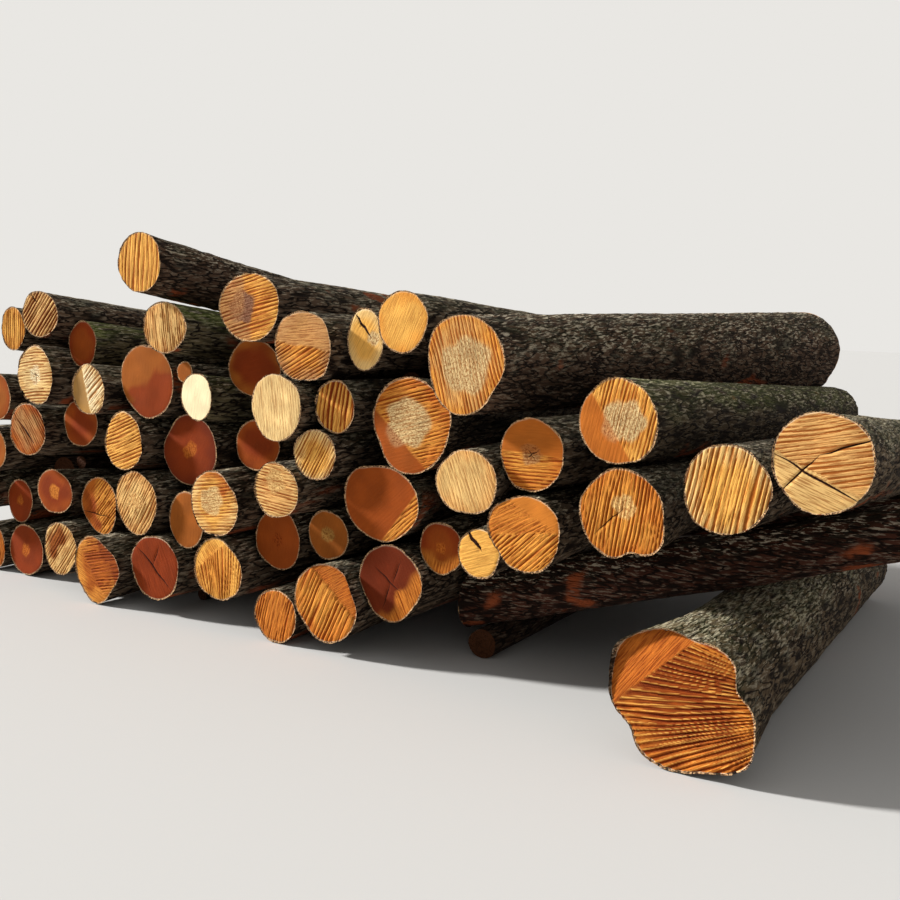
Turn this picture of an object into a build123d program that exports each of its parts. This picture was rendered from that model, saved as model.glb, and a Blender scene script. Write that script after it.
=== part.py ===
from build123d import *
import math
import os
from dataclasses import dataclass

import numpy as np

# Stack of freshly cut alder logs, all lengths in millimetres.
# +X runs along the pile's face to the viewer's right, +Y along the logs into the pile, +Z is up.
# Each log is dropped onto the logs already laid, so a new diameter or length settles the pile again.

# Lengths that the logs are cut to
LOG_LENGTH = 3000.0
CROSS_LOG_LENGTH = 2500.0
BEARER_LENGTH = 3000.0

# The bearer log stands out of the pile's face and carries the two cross logs
BEARER_BACK = -300.0
FRONT_CROSS_INSET = 800.0   # from the bearer's front end to the front cross log
REAR_CROSS_INSET = 400.0    # from the rear cross log to the bearer's rear end
FRONT_CROSS_BACK = BEARER_BACK + FRONT_CROSS_INSET
REAR_CROSS_BACK = BEARER_BACK + BEARER_LENGTH - REAR_CROSS_INSET
CROSS_RIGHT = 2335.0        # right ends of both cross logs
CROSS_LEFT = CROSS_RIGHT - CROSS_LOG_LENGTH
CHOCK_INSET = 115.0         # from their left ends to the middle of the chock under them

# Clearance left between two outlines where one log rests on another
SEAT_GAP = 0.4

# How finely the pile's surface is followed while logs are laid
GRID_STEP = 1.0         # across the pile
STATION_STEP = 25.0     # along the logs

# How far a rear end may settle sideways to find its valley, and the steps of that search
REAR_ROOM = 80.0
REAR_STEP = 20.0
REAR_FINE_STEP = 0.25
SEARCH_STATIONS = 4     # only each fourth station is looked at while searching

# Small logs packed out of sight between the others share one node
HIDDEN_NODE = "inner_logs"

# Flat strips of bark around a log, which its outlines' corners part
STRIPS = 36

# Room around the laid logs on the height grid
GRID_MARGIN = 500.0

# Unevenness that every log's outline has: waves around it and their share of the radius
WAVES = ((2, 0.012), (3, 0.018), (5, 0.010), (7, 0.006))

# Where along a flared log its butt flare has run out, and what is left there and at the rear
FLARE_LENGTH = 450.0
FLARE_TAPER = 0.90
BUMP_LEFT_AT_FLARE = 0.30
BUMP_LEFT_AT_REAR = 0.12


@dataclass(frozen=True)
class Log:
    """A log of the pile: its front outline, where that is, and how its body runs."""

    name: str
    x: float                 # middle of the front end, across the pile
    wide: float
    high: float
    back: float = 0.0        # setback of the front end, negative where it stands out
    lean: float = 0.0        # outline turned clockwise as seen from the front, in degrees
    bumps: tuple = ()        # (angle from the right upwards, share of radius, spread), in degrees
    rear_x: float = 0.0      # how far the rear end lies to the right of the front one
    taper: float = 0.98      # rear diameter as a share of the front one behind any flare
    cut: tuple = (0.0, 0.0)  # slant of both cuts: right side back, top back, in degrees
    flared: bool = False     # the butt flare runs out over FLARE_LENGTH
    crook: tuple = (0.0, 0.0)  # middle of the log pushed to the right and up
    length: float = LOG_LENGTH
    across: bool = False     # lies across the others, from x to the right, at the depth back
    hidden: bool = False     # packed out of sight between the others

    @property
    def rear_scale(self):
        """Rear outline's size as a share of the front one's, with the butt flare run out."""
        return self.taper * FLARE_TAPER if self.flared else self.taper


# The pile from the ground up
PILE = (
    Log("bearer_log", 1141, 530, 525, back=BEARER_BACK, taper=0.91, length=BEARER_LENGTH,
        flared=True, bumps=((147, 0.15, 18), (83, -0.10, 20), (22, -0.20, 14), (322, 0.14, 20),
                            (215, -0.17, 16))),
    Log("inner_1", CROSS_LEFT + CHOCK_INSET, 140, 135, back=400, hidden=True),
    Log("cross_log_front", CROSS_LEFT, 285, 280, back=FRONT_CROSS_BACK, taper=0.78,
        length=CROSS_LOG_LENGTH, across=True, crook=(0, -12)),
    Log("cross_log_rear", CROSS_LEFT, 240, 240, back=REAR_CROSS_BACK, taper=0.78,
        length=CROSS_LOG_LENGTH, across=True),
    Log("log_01", -3170, 215, 290, back=100),
    Log("log_02", -2900, 300, 306, back=120, lean=12),
    Log("inner_2", -2480, 56, 56, back=350, hidden=True),
    Log("log_03", -2493, 268, 302, back=30),
    Log("log_04", -2110, 345, 360, back=-50, flared=True,
        bumps=((112, 0.04, 20), (58, -0.17, 30), (270, 0.06, 25), (225, -0.08, 25), (315, -0.08, 25))),
    Log("inner_3", -1750, 60, 60, back=350, hidden=True),
    Log("log_05", -1735, 350, 335, back=0, lean=20),
    Log("inner_4", -1285, 150, 145, back=400, hidden=True),
    Log("log_06", -938, 268, 260, back=0, lean=25),
    Log("log_07", -645, 375, 370, back=0, flared=True,
        bumps=((215, -0.10, 25), (30, -0.10, 25))),
    Log("log_08", -1285, 325, 312, back=-20, bumps=((60, -0.10, 25),)),
    Log("log_09", -345, 358, 340, back=80, flared=True,
        bumps=((270, 0.10, 25), (215, -0.10, 25), (325, -0.10, 25))),
    Log("log_10", -2985, 225, 262, back=150),
    Log("log_11", -2285, 285, 325, back=120, bumps=((305, 0.06, 20), (240, -0.14, 30))),
    Log("log_12", -1563, 245, 295, back=50),
    Log("log_13", -1030, 290, 292, back=120, bumps=((90, 0.05, 30), (300, 0.05, 25))),
    Log("log_14", -3215, 250, 260, back=0),
    Log("log_15", -2594, 300, 250, back=80),
    Log("log_16", -750, 245, 240, back=150),
    Log("log_17", -127, 231, 240, back=150),
    Log("log_18", -1865, 302, 335, back=0, bumps=((270, 0.06, 30), (60, -0.08, 25))),
    Log("log_19", 120, 208, 225, back=50),
    Log("log_20", -1298, 314, 325, back=-30, bumps=((45, -0.06, 25), (150, 0.04, 25))),
    Log("log_21", -897, 270, 265, back=-50),
    Log("inner_5", -2845, 180, 180, back=350, rear_x=120, hidden=True),
    Log("inner_10", -2700, 75, 75, back=350, hidden=True),
    Log("log_22", -3100, 275, 275, back=50),
    Log("log_23", -404, 404, 350, back=80, flared=True, bumps=((150, 0.06, 25),)),
    Log("log_24", 354, 350, 325, back=0, flared=True, bumps=((0, -0.08, 20), (212, -0.12, 25))),
    Log("log_25", 767, 350, 372, back=0, flared=True,
        bumps=((285, -0.16, 16), (330, 0.12, 20), (60, -0.06, 25))),
    Log("inner_6", -2390, 135, 135, back=400, hidden=True),
    Log("log_26", -1590, 366, 370, back=100, bumps=((0, 0.05, 20), (140, -0.05, 25))),
    Log("log_27", -2710, 305, 298, back=0),
    Log("log_28", -1190, 290, 255, back=150),
    Log("log_29", -2400, 280, 255, back=100),
    Log("log_30", -716, 246, 240, back=0),
    Log("log_31", 80, 300, 285, back=0, bumps=((270, -0.06, 18),)),
    Log("log_32", -1955, 278, 304, back=0, bumps=((95, 0.07, 20),)),
    Log("log_33", -3030, 232, 272, back=50),
    Log("log_34", 1162, 336, 336, back=0),
    Log("log_35", 350, 300, 305, back=50),
    Log("log_36", 1490, 360, 362, back=0),
    Log("log_37", -1443, 215, 236, back=0),
    Log("log_39", -2216, 255, 272, back=0),
    Log("log_40", -240, 410, 425, back=50, flared=True, bumps=((215, -0.10, 25), (20, 0.06, 20))),
    Log("log_41", -900, 305, 312, back=-50),
    Log("log_38", -622, 228, 248, back=20),
    Log("log_42", -1835, 390, 370, back=50, lean=25),
    Log("log_43", -1571, 115, 118, back=50),
    Log("log_44", -2572, 290, 325, back=-50),
    Log("log_45", 736, 327, 340, back=0, taper=0.92),
    Log("log_46", -1213, 340, 285, back=150),
    Log("inner_8", -2864, 180, 180, back=350, hidden=True),
    Log("log_47", -2881, 207, 252, back=50),
    Log("log_48", 87, 370, 415, back=-50, rear_x=640, taper=1.25,
        bumps=((130, 0.08, 25), (205, -0.05, 25), (320, -0.07, 25))),
    Log("log_49", -2375, 225, 250, back=100, bumps=((90, 0.06, 22),)),
    Log("log_50", -751, 325, 325, back=-50,
        bumps=((90, -0.04, 25), (45, 0.05, 18), (135, 0.05, 18), (225, 0.04, 18), (315, 0.04, 18))),
    Log("inner_7", -470, 125, 125, back=400, hidden=True),
    Log("inner_9", -235, 70, 70, back=400, hidden=True),
    Log("log_51", -483, 200, 285, back=50),
    Log("log_52", -2590, 295, 255, back=0),
    Log("log_53", -1630, 300, 260, back=-30),
    Log("log_54", -255, 262, 272, back=0),
    Log("log_55", -1066, 374, 320, back=-50, crook=(0, 20)),
    Log("log_56", -1665, 300, 290, back=-150, rear_x=-60, taper=0.9),
)


@dataclass(frozen=True)
class Section:
    """An outline across a log: how far along it lies and how it differs from the front one."""

    along: float
    scale: float
    bump_share: float
    shift: tuple


def sections(log):
    """Outlines that the log's body runs through, front end first."""
    found = [Section(0.0, 1.0, 1.0, (0.0, 0.0))]
    if log.flared:
        found.append(Section(FLARE_LENGTH, FLARE_TAPER, BUMP_LEFT_AT_FLARE, (0.0, 0.0)))
    if any(log.crook):
        found.append(Section(log.length / 2, (1 + log.rear_scale) / 2, BUMP_LEFT_AT_REAR, log.crook))
    found.append(Section(log.length, log.rear_scale, BUMP_LEFT_AT_REAR, (0.0, 0.0)))
    return found


def outline_radius(log, angle, bump_share):
    """Radius of the log's outline at an angle from the right, upwards, in radians."""
    turned = angle + math.radians(log.lean)
    half_wide, half_high = log.wide / 2, log.high / 2
    round_radius = half_wide * half_high / math.hypot(
        half_high * math.cos(turned), half_wide * math.sin(turned)
    )
    seed = sum(ord(letter) * place for place, letter in enumerate(log.name, 1))
    share = 1.0
    for count, swing in WAVES:
        share += swing * math.sin(count * angle + seed * count)
    for direction, height, spread in log.bumps:
        away = (math.degrees(angle) - direction + 180) % 360 - 180
        share += bump_share * height * math.exp(-((away / spread) ** 2))
    return round_radius * share


def outline(log, section):
    """Corners of one section, as (to the right, along, up) from the log's front centre."""
    is_end = section.along in (0.0, log.length)
    slant_right = math.tan(math.radians(log.cut[0])) if is_end else 0.0
    slant_up = math.tan(math.radians(log.cut[1])) if is_end else 0.0
    points = []
    for place in range(STRIPS):
        angle = 2 * math.pi * place / STRIPS
        radius = section.scale * outline_radius(log, angle, section.bump_share)
        right, up = radius * math.cos(angle), radius * math.sin(angle)
        along = section.along + slant_right * right + slant_up * up
        points.append((right + section.shift[0], along, up + section.shift[1]))
    return np.array(points)


def placed(log, points, seat):
    """Points of a log moved to where it lies: seat is its front centre's height and its slopes."""
    height, rise, drift = seat
    right, along, up = points.T
    sideways = right + drift * along
    upwards = up + height + rise * along
    if log.across:
        return np.stack([log.x + along, log.back - sideways, upwards], axis=1)
    return np.stack([log.x + sideways, log.back + along, upwards], axis=1)


def cut_through(rings, station, down):
    """Where the body's straight lines cross a station along the log, or None clear of it."""
    for front, rear in zip(rings, rings[1:]):
        first, last = front[:, down], rear[:, down]
        if first.min() <= station <= last.max():
            share = np.clip((station - first) / (last - first), 0.0, 1.0)[:, None]
            if (station > last).all():
                continue
            return front + share * (rear - front)
    return None


def envelope(across, height, cells):
    """Lowest and highest point of a closed outline over each cell, infinite beside it."""
    next_across, next_height = np.roll(across, -1), np.roll(height, -1)
    near = np.minimum(across, next_across)[:, None]
    far = np.maximum(across, next_across)[:, None]
    run = np.where(next_across == across, 1e-9, next_across - across)
    slope = ((next_height - height) / run)[:, None]
    inside = (cells >= near) & (cells <= far)
    level = height[:, None] + (cells - across[:, None]) * slope
    low = np.where(inside, level, np.inf).min(axis=0)
    high = np.where(inside, level, -np.inf).max(axis=0)
    return low, high


class Ground:
    """Height of the floor and the logs laid so far, on a grid across and along the pile.

    The grid also has a line at every log's ends and wherever its taper changes.
    """

    def __init__(self, logs):
        across = [log.x for log in logs]
        along = []
        for log in logs:
            spots = [section.along for section in sections(log)]
            if log.across:
                across.extend(log.x + spot for spot in spots)
            else:
                along.extend(log.back + spot for spot in spots)
        even_cells = np.arange(min(across) - GRID_MARGIN, max(across) + GRID_MARGIN, GRID_STEP)
        even_stations = np.arange(min(along), max(along) + STATION_STEP, STATION_STEP)
        self.cells = np.union1d(even_cells, across)
        self.stations = np.union1d(even_stations, along)
        self.top = np.zeros((len(self.stations), len(self.cells)))

    def lines(self, log):
        """Grid lines that cross the log, and the cells along each of those lines."""
        if log.across:
            return self.cells, self.stations, self.top.T
        return self.stations, self.cells, self.top

    def heights_needed(self, log, rings, every=1):
        """For each grid line across the log, how high its axis must lie to clear what is below."""
        down, over = (0, 1) if log.across else (1, 0)
        lines, cells, top = self.lines(log)
        nearest = np.searchsorted(lines, rings[0][:, down].min())
        furthest = np.searchsorted(lines, rings[-1][:, down].max())
        found = []
        for row in sorted({*range(nearest, furthest, every), furthest}):
            ring = cut_through(rings, lines[row], down)
            if ring is None:
                continue
            first = np.searchsorted(cells, ring[:, over].min())
            last = np.searchsorted(cells, ring[:, over].max())
            low, high = envelope(ring[:, over], ring[:, 2], cells[first:last])
            below = top[row, first:last]
            found.append((lines[row], float((below - low).max()), row, first, last, high))
        return found

    def add(self, log, rings):
        """Raises the grid to the top of a log that has been laid."""
        top = self.lines(log)[2]
        for _, _, row, first, last, high in self.heights_needed(log, rings):
            top[row, first:last] = np.maximum(top[row, first:last], high)


def rest_line(needed, middle):
    """Height at the front and slope of the straight line that lies on two of the heights needed."""
    hull = []
    for spot, height in needed:
        while len(hull) > 1 and (hull[-1][1] - hull[-2][1]) * (spot - hull[-1][0]) <= (
            height - hull[-1][1]
        ) * (hull[-1][0] - hull[-2][0]):
            hull.pop()
        hull.append((spot, height))
    for (near, near_height), (far, far_height) in zip(hull, hull[1:]):
        if near <= middle <= far:
            rise = (far_height - near_height) / (far - near)
            return near_height, near, rise
    return hull[0][1], hull[0][0], 0.0


def balance_point(log):
    """Distance from the front end to the middle of the log's weight, as in a cut cone."""
    taper = log.rear_scale
    return log.length / 4 * (1 + 2 * taper + 3 * taper**2) / (1 + taper + taper**2)


def settled(log, shapes, ground, drift, every=1):
    """Height of the front centre and slope at which the log comes to rest on the grid."""
    rings = [placed(log, shape, (0.0, 0.0, drift)) for shape in shapes]
    needed = [(spot, height) for spot, height, *_ in ground.heights_needed(log, rings, every)]
    start = log.x if log.across else log.back
    height, spot, rise = rest_line(needed, start + balance_point(log))
    return height - rise * (spot - start), rise


def swollen(shape):
    """The outline with half of the seat's gap around it."""
    middle = shape.mean(axis=0)
    outwards = shape - middle
    outwards[:, 1] = 0.0
    return shape + outwards / np.linalg.norm(outwards, axis=1)[:, None] * SEAT_GAP / 2


def deepest_drift(log, shapes, ground):
    """Drift at which the log lies lowest, with its rear end settled between those below it."""

    def middle_height(sideways):
        height, rise = settled(log, shapes, ground, sideways / log.length, SEARCH_STATIONS)
        return height + rise * balance_point(log), sideways

    steps = np.arange(-REAR_ROOM, REAR_ROOM + REAR_STEP / 2, REAR_STEP)
    lowest = min(middle_height(log.rear_x + step) for step in steps)
    step = REAR_STEP / 2
    while step > REAR_FINE_STEP:
        lowest = min(lowest, middle_height(lowest[1] - step), middle_height(lowest[1] + step))
        step /= 2
    return lowest[1] / log.length


def lay(log, ground):
    """Lays the log on the pile and returns its height, slope and drift."""
    shapes = [swollen(outline(log, section)) for section in sections(log)]
    drift = 0.0 if log.across else deepest_drift(log, shapes, ground)
    height, rise = settled(log, shapes, ground, drift)
    seat = (height, rise, drift)
    ground.add(log, [placed(log, shape, seat) for shape in shapes])
    return seat


def log_solid(log, seat):
    """The log's body: strips between matching corners of its outlines, and flat ends."""
    outlines = []
    for section in sections(log):
        corners = placed(log, outline(log, section), seat)
        outlines.append(Wire.make_polygon([Vector(*corner) for corner in corners], close=True))
    return Solid.make_loft(outlines, ruled=True)


def lay_pile():
    """Lays every log and returns them with their solids, from the ground up."""
    ground = Ground(PILE)
    laid = []
    for log in PILE:
        seat = lay(log, ground)
        laid.append((log, seat, log_solid(log, seat)))
    return laid


# The origin is on the floor under the middle of the pile's box
laid_logs = lay_pile()
pile_box = Compound([solid for _, _, solid in laid_logs]).bounding_box()
to_origin = Location((
    -(pile_box.min.X + pile_box.max.X) / 2,
    -(pile_box.min.Y + pile_box.max.Y) / 2,
    -pile_box.min.Z,
))

nodes = {}
for log, _, solid in laid_logs:
    node = HIDDEN_NODE if log.hidden else log.name
    nodes.setdefault(node, []).append(solid.moved(to_origin))

os.makedirs("parts", exist_ok=True)
for node, solids in nodes.items():
    piece = Compound(solids) if len(solids) > 1 else solids[0]
    piece.label = node
    export_step(piece, f"parts/{node}.step")
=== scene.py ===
import logging
import math
from dataclasses import dataclass, field
from enum import Enum, IntEnum
from functools import cached_property

import bpy
import numpy as np
from mathutils import Matrix, Vector


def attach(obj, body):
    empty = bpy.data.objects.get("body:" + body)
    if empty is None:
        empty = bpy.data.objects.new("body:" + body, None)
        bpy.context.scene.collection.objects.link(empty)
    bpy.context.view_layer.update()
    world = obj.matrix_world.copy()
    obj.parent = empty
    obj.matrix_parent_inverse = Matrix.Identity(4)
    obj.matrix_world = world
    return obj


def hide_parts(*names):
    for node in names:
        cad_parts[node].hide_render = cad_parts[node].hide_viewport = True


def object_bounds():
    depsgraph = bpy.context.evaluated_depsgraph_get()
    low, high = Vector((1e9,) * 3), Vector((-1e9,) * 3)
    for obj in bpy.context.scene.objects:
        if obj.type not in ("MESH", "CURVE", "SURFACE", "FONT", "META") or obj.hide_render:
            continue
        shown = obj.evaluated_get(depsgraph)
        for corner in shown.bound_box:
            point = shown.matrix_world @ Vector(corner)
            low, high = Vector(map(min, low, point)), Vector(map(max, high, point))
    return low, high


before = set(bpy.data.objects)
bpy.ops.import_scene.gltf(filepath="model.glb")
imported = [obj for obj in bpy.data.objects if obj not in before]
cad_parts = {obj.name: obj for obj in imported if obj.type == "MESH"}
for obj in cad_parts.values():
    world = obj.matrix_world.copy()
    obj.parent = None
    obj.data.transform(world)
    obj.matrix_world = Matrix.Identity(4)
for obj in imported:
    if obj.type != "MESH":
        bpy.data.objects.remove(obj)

CAD_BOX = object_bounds()
LOGGER = logging.getLogger("stack_of_logs")
MM = 0.001
TURN = 2 * math.pi
LATTICE_ROWS = 251      # rows of random values after which a pattern repeats along a log

Pair = tuple[float, float]
Triple = tuple[float, float, float]
Colour = tuple[float, float, float, float]
Arrays = tuple[np.ndarray, np.ndarray]


# Colours and small maths

def linear(colour: str) -> Colour:
    """Turns an sRGB colour into the linear values that shaders use.

    Args:
        colour: sRGB hex value such as "#8a5a30".

    Returns:
        Red, green, blue and an alpha of 1.
    """
    shares = [int(colour[place:place + 2], 16) / 255 for place in (1, 3, 5)]
    red, green, blue = (
        share / 12.92 if share <= 0.04045 else ((share + 0.055) / 1.055) ** 2.4 for share in shares
    )
    return red, green, blue, 1.0


def blend_of(low: np.ndarray, high: np.ndarray, share: np.ndarray) -> np.ndarray:
    """Mixes two sets of values, point by point.

    Args:
        low: Values where the share is 0.
        high: Values where the share is 1.
        share: From 0 to 1, one for each point.

    Returns:
        The mixed values, one row for each point.
    """
    share = np.asarray(share)[:, None]
    return low * (1 - share) + high * share


def ease(value: np.ndarray, start: float, end: float) -> np.ndarray:
    """Rises smoothly from 0 at start to 1 at end.

    Args:
        value: Where to read the curve.
        start: Value at which it leaves 0.
        end: Value at which it reaches 1.

    Returns:
        The curve's height at each value.
    """
    share = np.clip((value - start) / (end - start), 0.0, 1.0)
    return share * share * (3 - 2 * share)


def speckle(across: np.ndarray, along: np.ndarray | float, seed: int, around: int = 96) -> np.ndarray:
    """Smooth random values on a grid of cells one unit wide.

    Args:
        across: First coordinate, in cells; the pattern closes after `around` cells.
        along: Second coordinate, in cells.
        seed: Makes one pattern differ from the next.
        around: Number of cells after which the first coordinate repeats.

    Returns:
        Values from 0 to 1.
    """
    lattice = np.random.default_rng(seed).random((around, LATTICE_ROWS))
    column, row = np.floor(across).astype(int), np.floor(along).astype(int)
    right, up = across - column, along - row
    right, up = right * right * (3 - 2 * right), up * up * (3 - 2 * up)
    column, row = column % around, row % LATTICE_ROWS
    next_column, next_row = (column + 1) % around, (row + 1) % LATTICE_ROWS
    low = lattice[column, row] * (1 - right) + lattice[next_column, row] * right
    high = lattice[column, next_row] * (1 - right) + lattice[next_column, next_row] * right
    return low * (1 - up) + high * up


def girdle(angles: np.ndarray, cells: int, along: float, seed: int) -> np.ndarray:
    """Smooth random values from 0 to 1 around a log, in that many cells."""
    return speckle(angles / TURN * cells, along, seed, cells)


def directions(angle: float) -> Arrays:
    """Directions along and across a line at that angle, in degrees from the right upwards."""
    cosine, sine = math.cos(math.radians(angle)), math.sin(math.radians(angle))
    return np.array([cosine, sine]), np.array([-sine, cosine])


# What the saw and the weather left on each log, and the shade and light painted on its end

class Tint(Enum):
    """Colours of cut alder, from fresh cream to the red and brown that the air brings out; the darkest reds
    and browns also carry painted shade, and the palest creams painted light.
    """

    PALE_CREAM = "#ffeebf"
    CREAM = "#f0cd8c"
    STRAW = "#e6bd78"
    GOLD = "#f0b356"
    APRICOT = "#e3ae68"
    AMBER = "#e0983f"
    TAN = "#bf8c56"
    OCHRE = "#a87a3c"
    MAUVE = "#93694f"
    SAND = "#d8bb85"
    ORANGE = "#cf7d2e"
    RUST = "#b4601e"
    BROWN = "#9a541c"
    RED_BROWN = "#944312"
    DARK_RED = "#82300c"
    MAROON = "#68230c"

    def rgb(self) -> np.ndarray:
        """The tint as linear red, green, blue and alpha."""
        return np.array(linear(self.value))


class Coat(Enum):
    """Looks of the bark: how much moss, peeled inner bark and lichen it carries."""

    GREY = ("#5f4e3e", 0.08, 0.08, 0.35)
    BROWN = ("#574233", 0.06, 0.05, 0.25)
    PEELING = ("#624e3e", 0.06, 0.19, 0.50)
    MOSSY = ("#655a42", 0.75, 0.10, 0.40)
    DAMP = ("#4f4232", 0.34, 0.05, 0.20)
    GREENISH = ("#625a42", 0.45, 0.05, 0.45)
    # LICHEN's ridge colour is darkened in part as painted shade, for the bearer that lies in the stack's
    # shadow.
    LICHEN = ("#64533f", 0.15, 0.08, 0.60)
    RED = ("#42251a", 0.02, 0.13, 0.05)

    def rgb(self) -> np.ndarray:
        """The ridges' colour as linear red, green, blue and alpha."""
        return np.array(linear(self.value[0]))


class Layer(IntEnum):
    """Random patterns of one log, as steps from the log's seed to theirs."""

    LINE_DRIFT = 0
    LINE_STRENGTH = 1
    WAVES = 2
    HEART_PITS = 3
    HEART_EDGE = 4
    FACET_EDGE = 5
    CRACKS = 6
    BLOTCHES = 7
    FURROW_BEND = 11
    PLATES = 12
    SCALES = 13
    SWELLS = 14
    FRAY = 21
    BARK_THICKNESS = 22
    CHIPS = 23
    PATCHES = 31
    CRUSTS = 32
    REAR_END = 500


@dataclass(frozen=True)
class Crack:
    """A drying crack across a sawn end, in shares of the end's radius from its middle."""

    start: Pair
    end: Pair
    width: float = 3.0      # in millimetres


@dataclass(frozen=True)
class Facet:
    """Part of a sawn end that the saw met at another angle."""

    edge: float         # direction of its edge, in degrees from the right upwards
    offset: float       # how far the edge lies from the middle, in shares of the radius
    lines: float        # direction of its saw lines, in degrees
    drop: float = 5.0   # how much deeper it lies, in millimetres
    tilt: float = 0.0   # how fast it falls away behind that edge, per millimetre
    tint: Tint | None = None


@dataclass(frozen=True)
class Heart:
    """Rough heart of a sawn end, in shares of the end's radius."""

    tint: Tint
    size: float = 0.22
    place: Pair = (0.0, 0.0)


@dataclass(frozen=True)
class StainAndShade:
    """Second colour over one side of a sawn end: discoloured wood on some ends, a painted cast shadow on
    others, and painted light on a few dark ones.
    """

    tint: Tint
    side: float         # direction of that side, in degrees from the right upwards
    edge: float         # where it starts, in shares of the radius
    soft: float = 0.14  # how softly it starts; a soft one is uneven too, and a crisp one is the sharp edge between painted light and painted shade


@dataclass(frozen=True)
class RidgeHighlight:
    """Pale colour on the ridges between the saw lines: a painted highlight on the fibres that stand there.
    """

    tint: Tint
    reach: float = 0.42     # how far down into the lines the painted highlight reaches, from 0 to 1


@dataclass(frozen=True)
class Cut:
    """How one log's end was sawn, how its wood has coloured since, and the shade and light painted on it."""

    tint: Tint
    rim: Tint
    lines: float = 80.0         # direction of the saw lines, in degrees from the right upwards
    depth: float = 2.6          # of the saw lines, in millimetres
    pitch: float = 16.0         # between saw lines, in millimetres
    fan: float = 0.0            # distance to the point that the lines fan out from, 0 for parallel
    heart: Heart | None = None
    # Second colour over one side: discoloured wood on some ends, painted shade and painted light on others.
    stain_and_shade: StainAndShade | None = None
    # Painted highlight on the ridges between the saw lines.
    ridge_highlight: RidgeHighlight | None = None
    planed: Pair = (0.0, 0.0)   # how smooth the cut is, outside and inside the second colour
    cracks: tuple[Crack, ...] = ()
    facet: Facet | None = None
    frayed: float = 0.4         # how torn and pale the rim is
    coat: Coat = Coat.GREY

    @property
    def pith(self) -> Pair:
        """Where the growth rings are centred, in shares of the end's radius."""
        return (0.0, 0.0) if self.heart is None else self.heart.place


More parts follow.
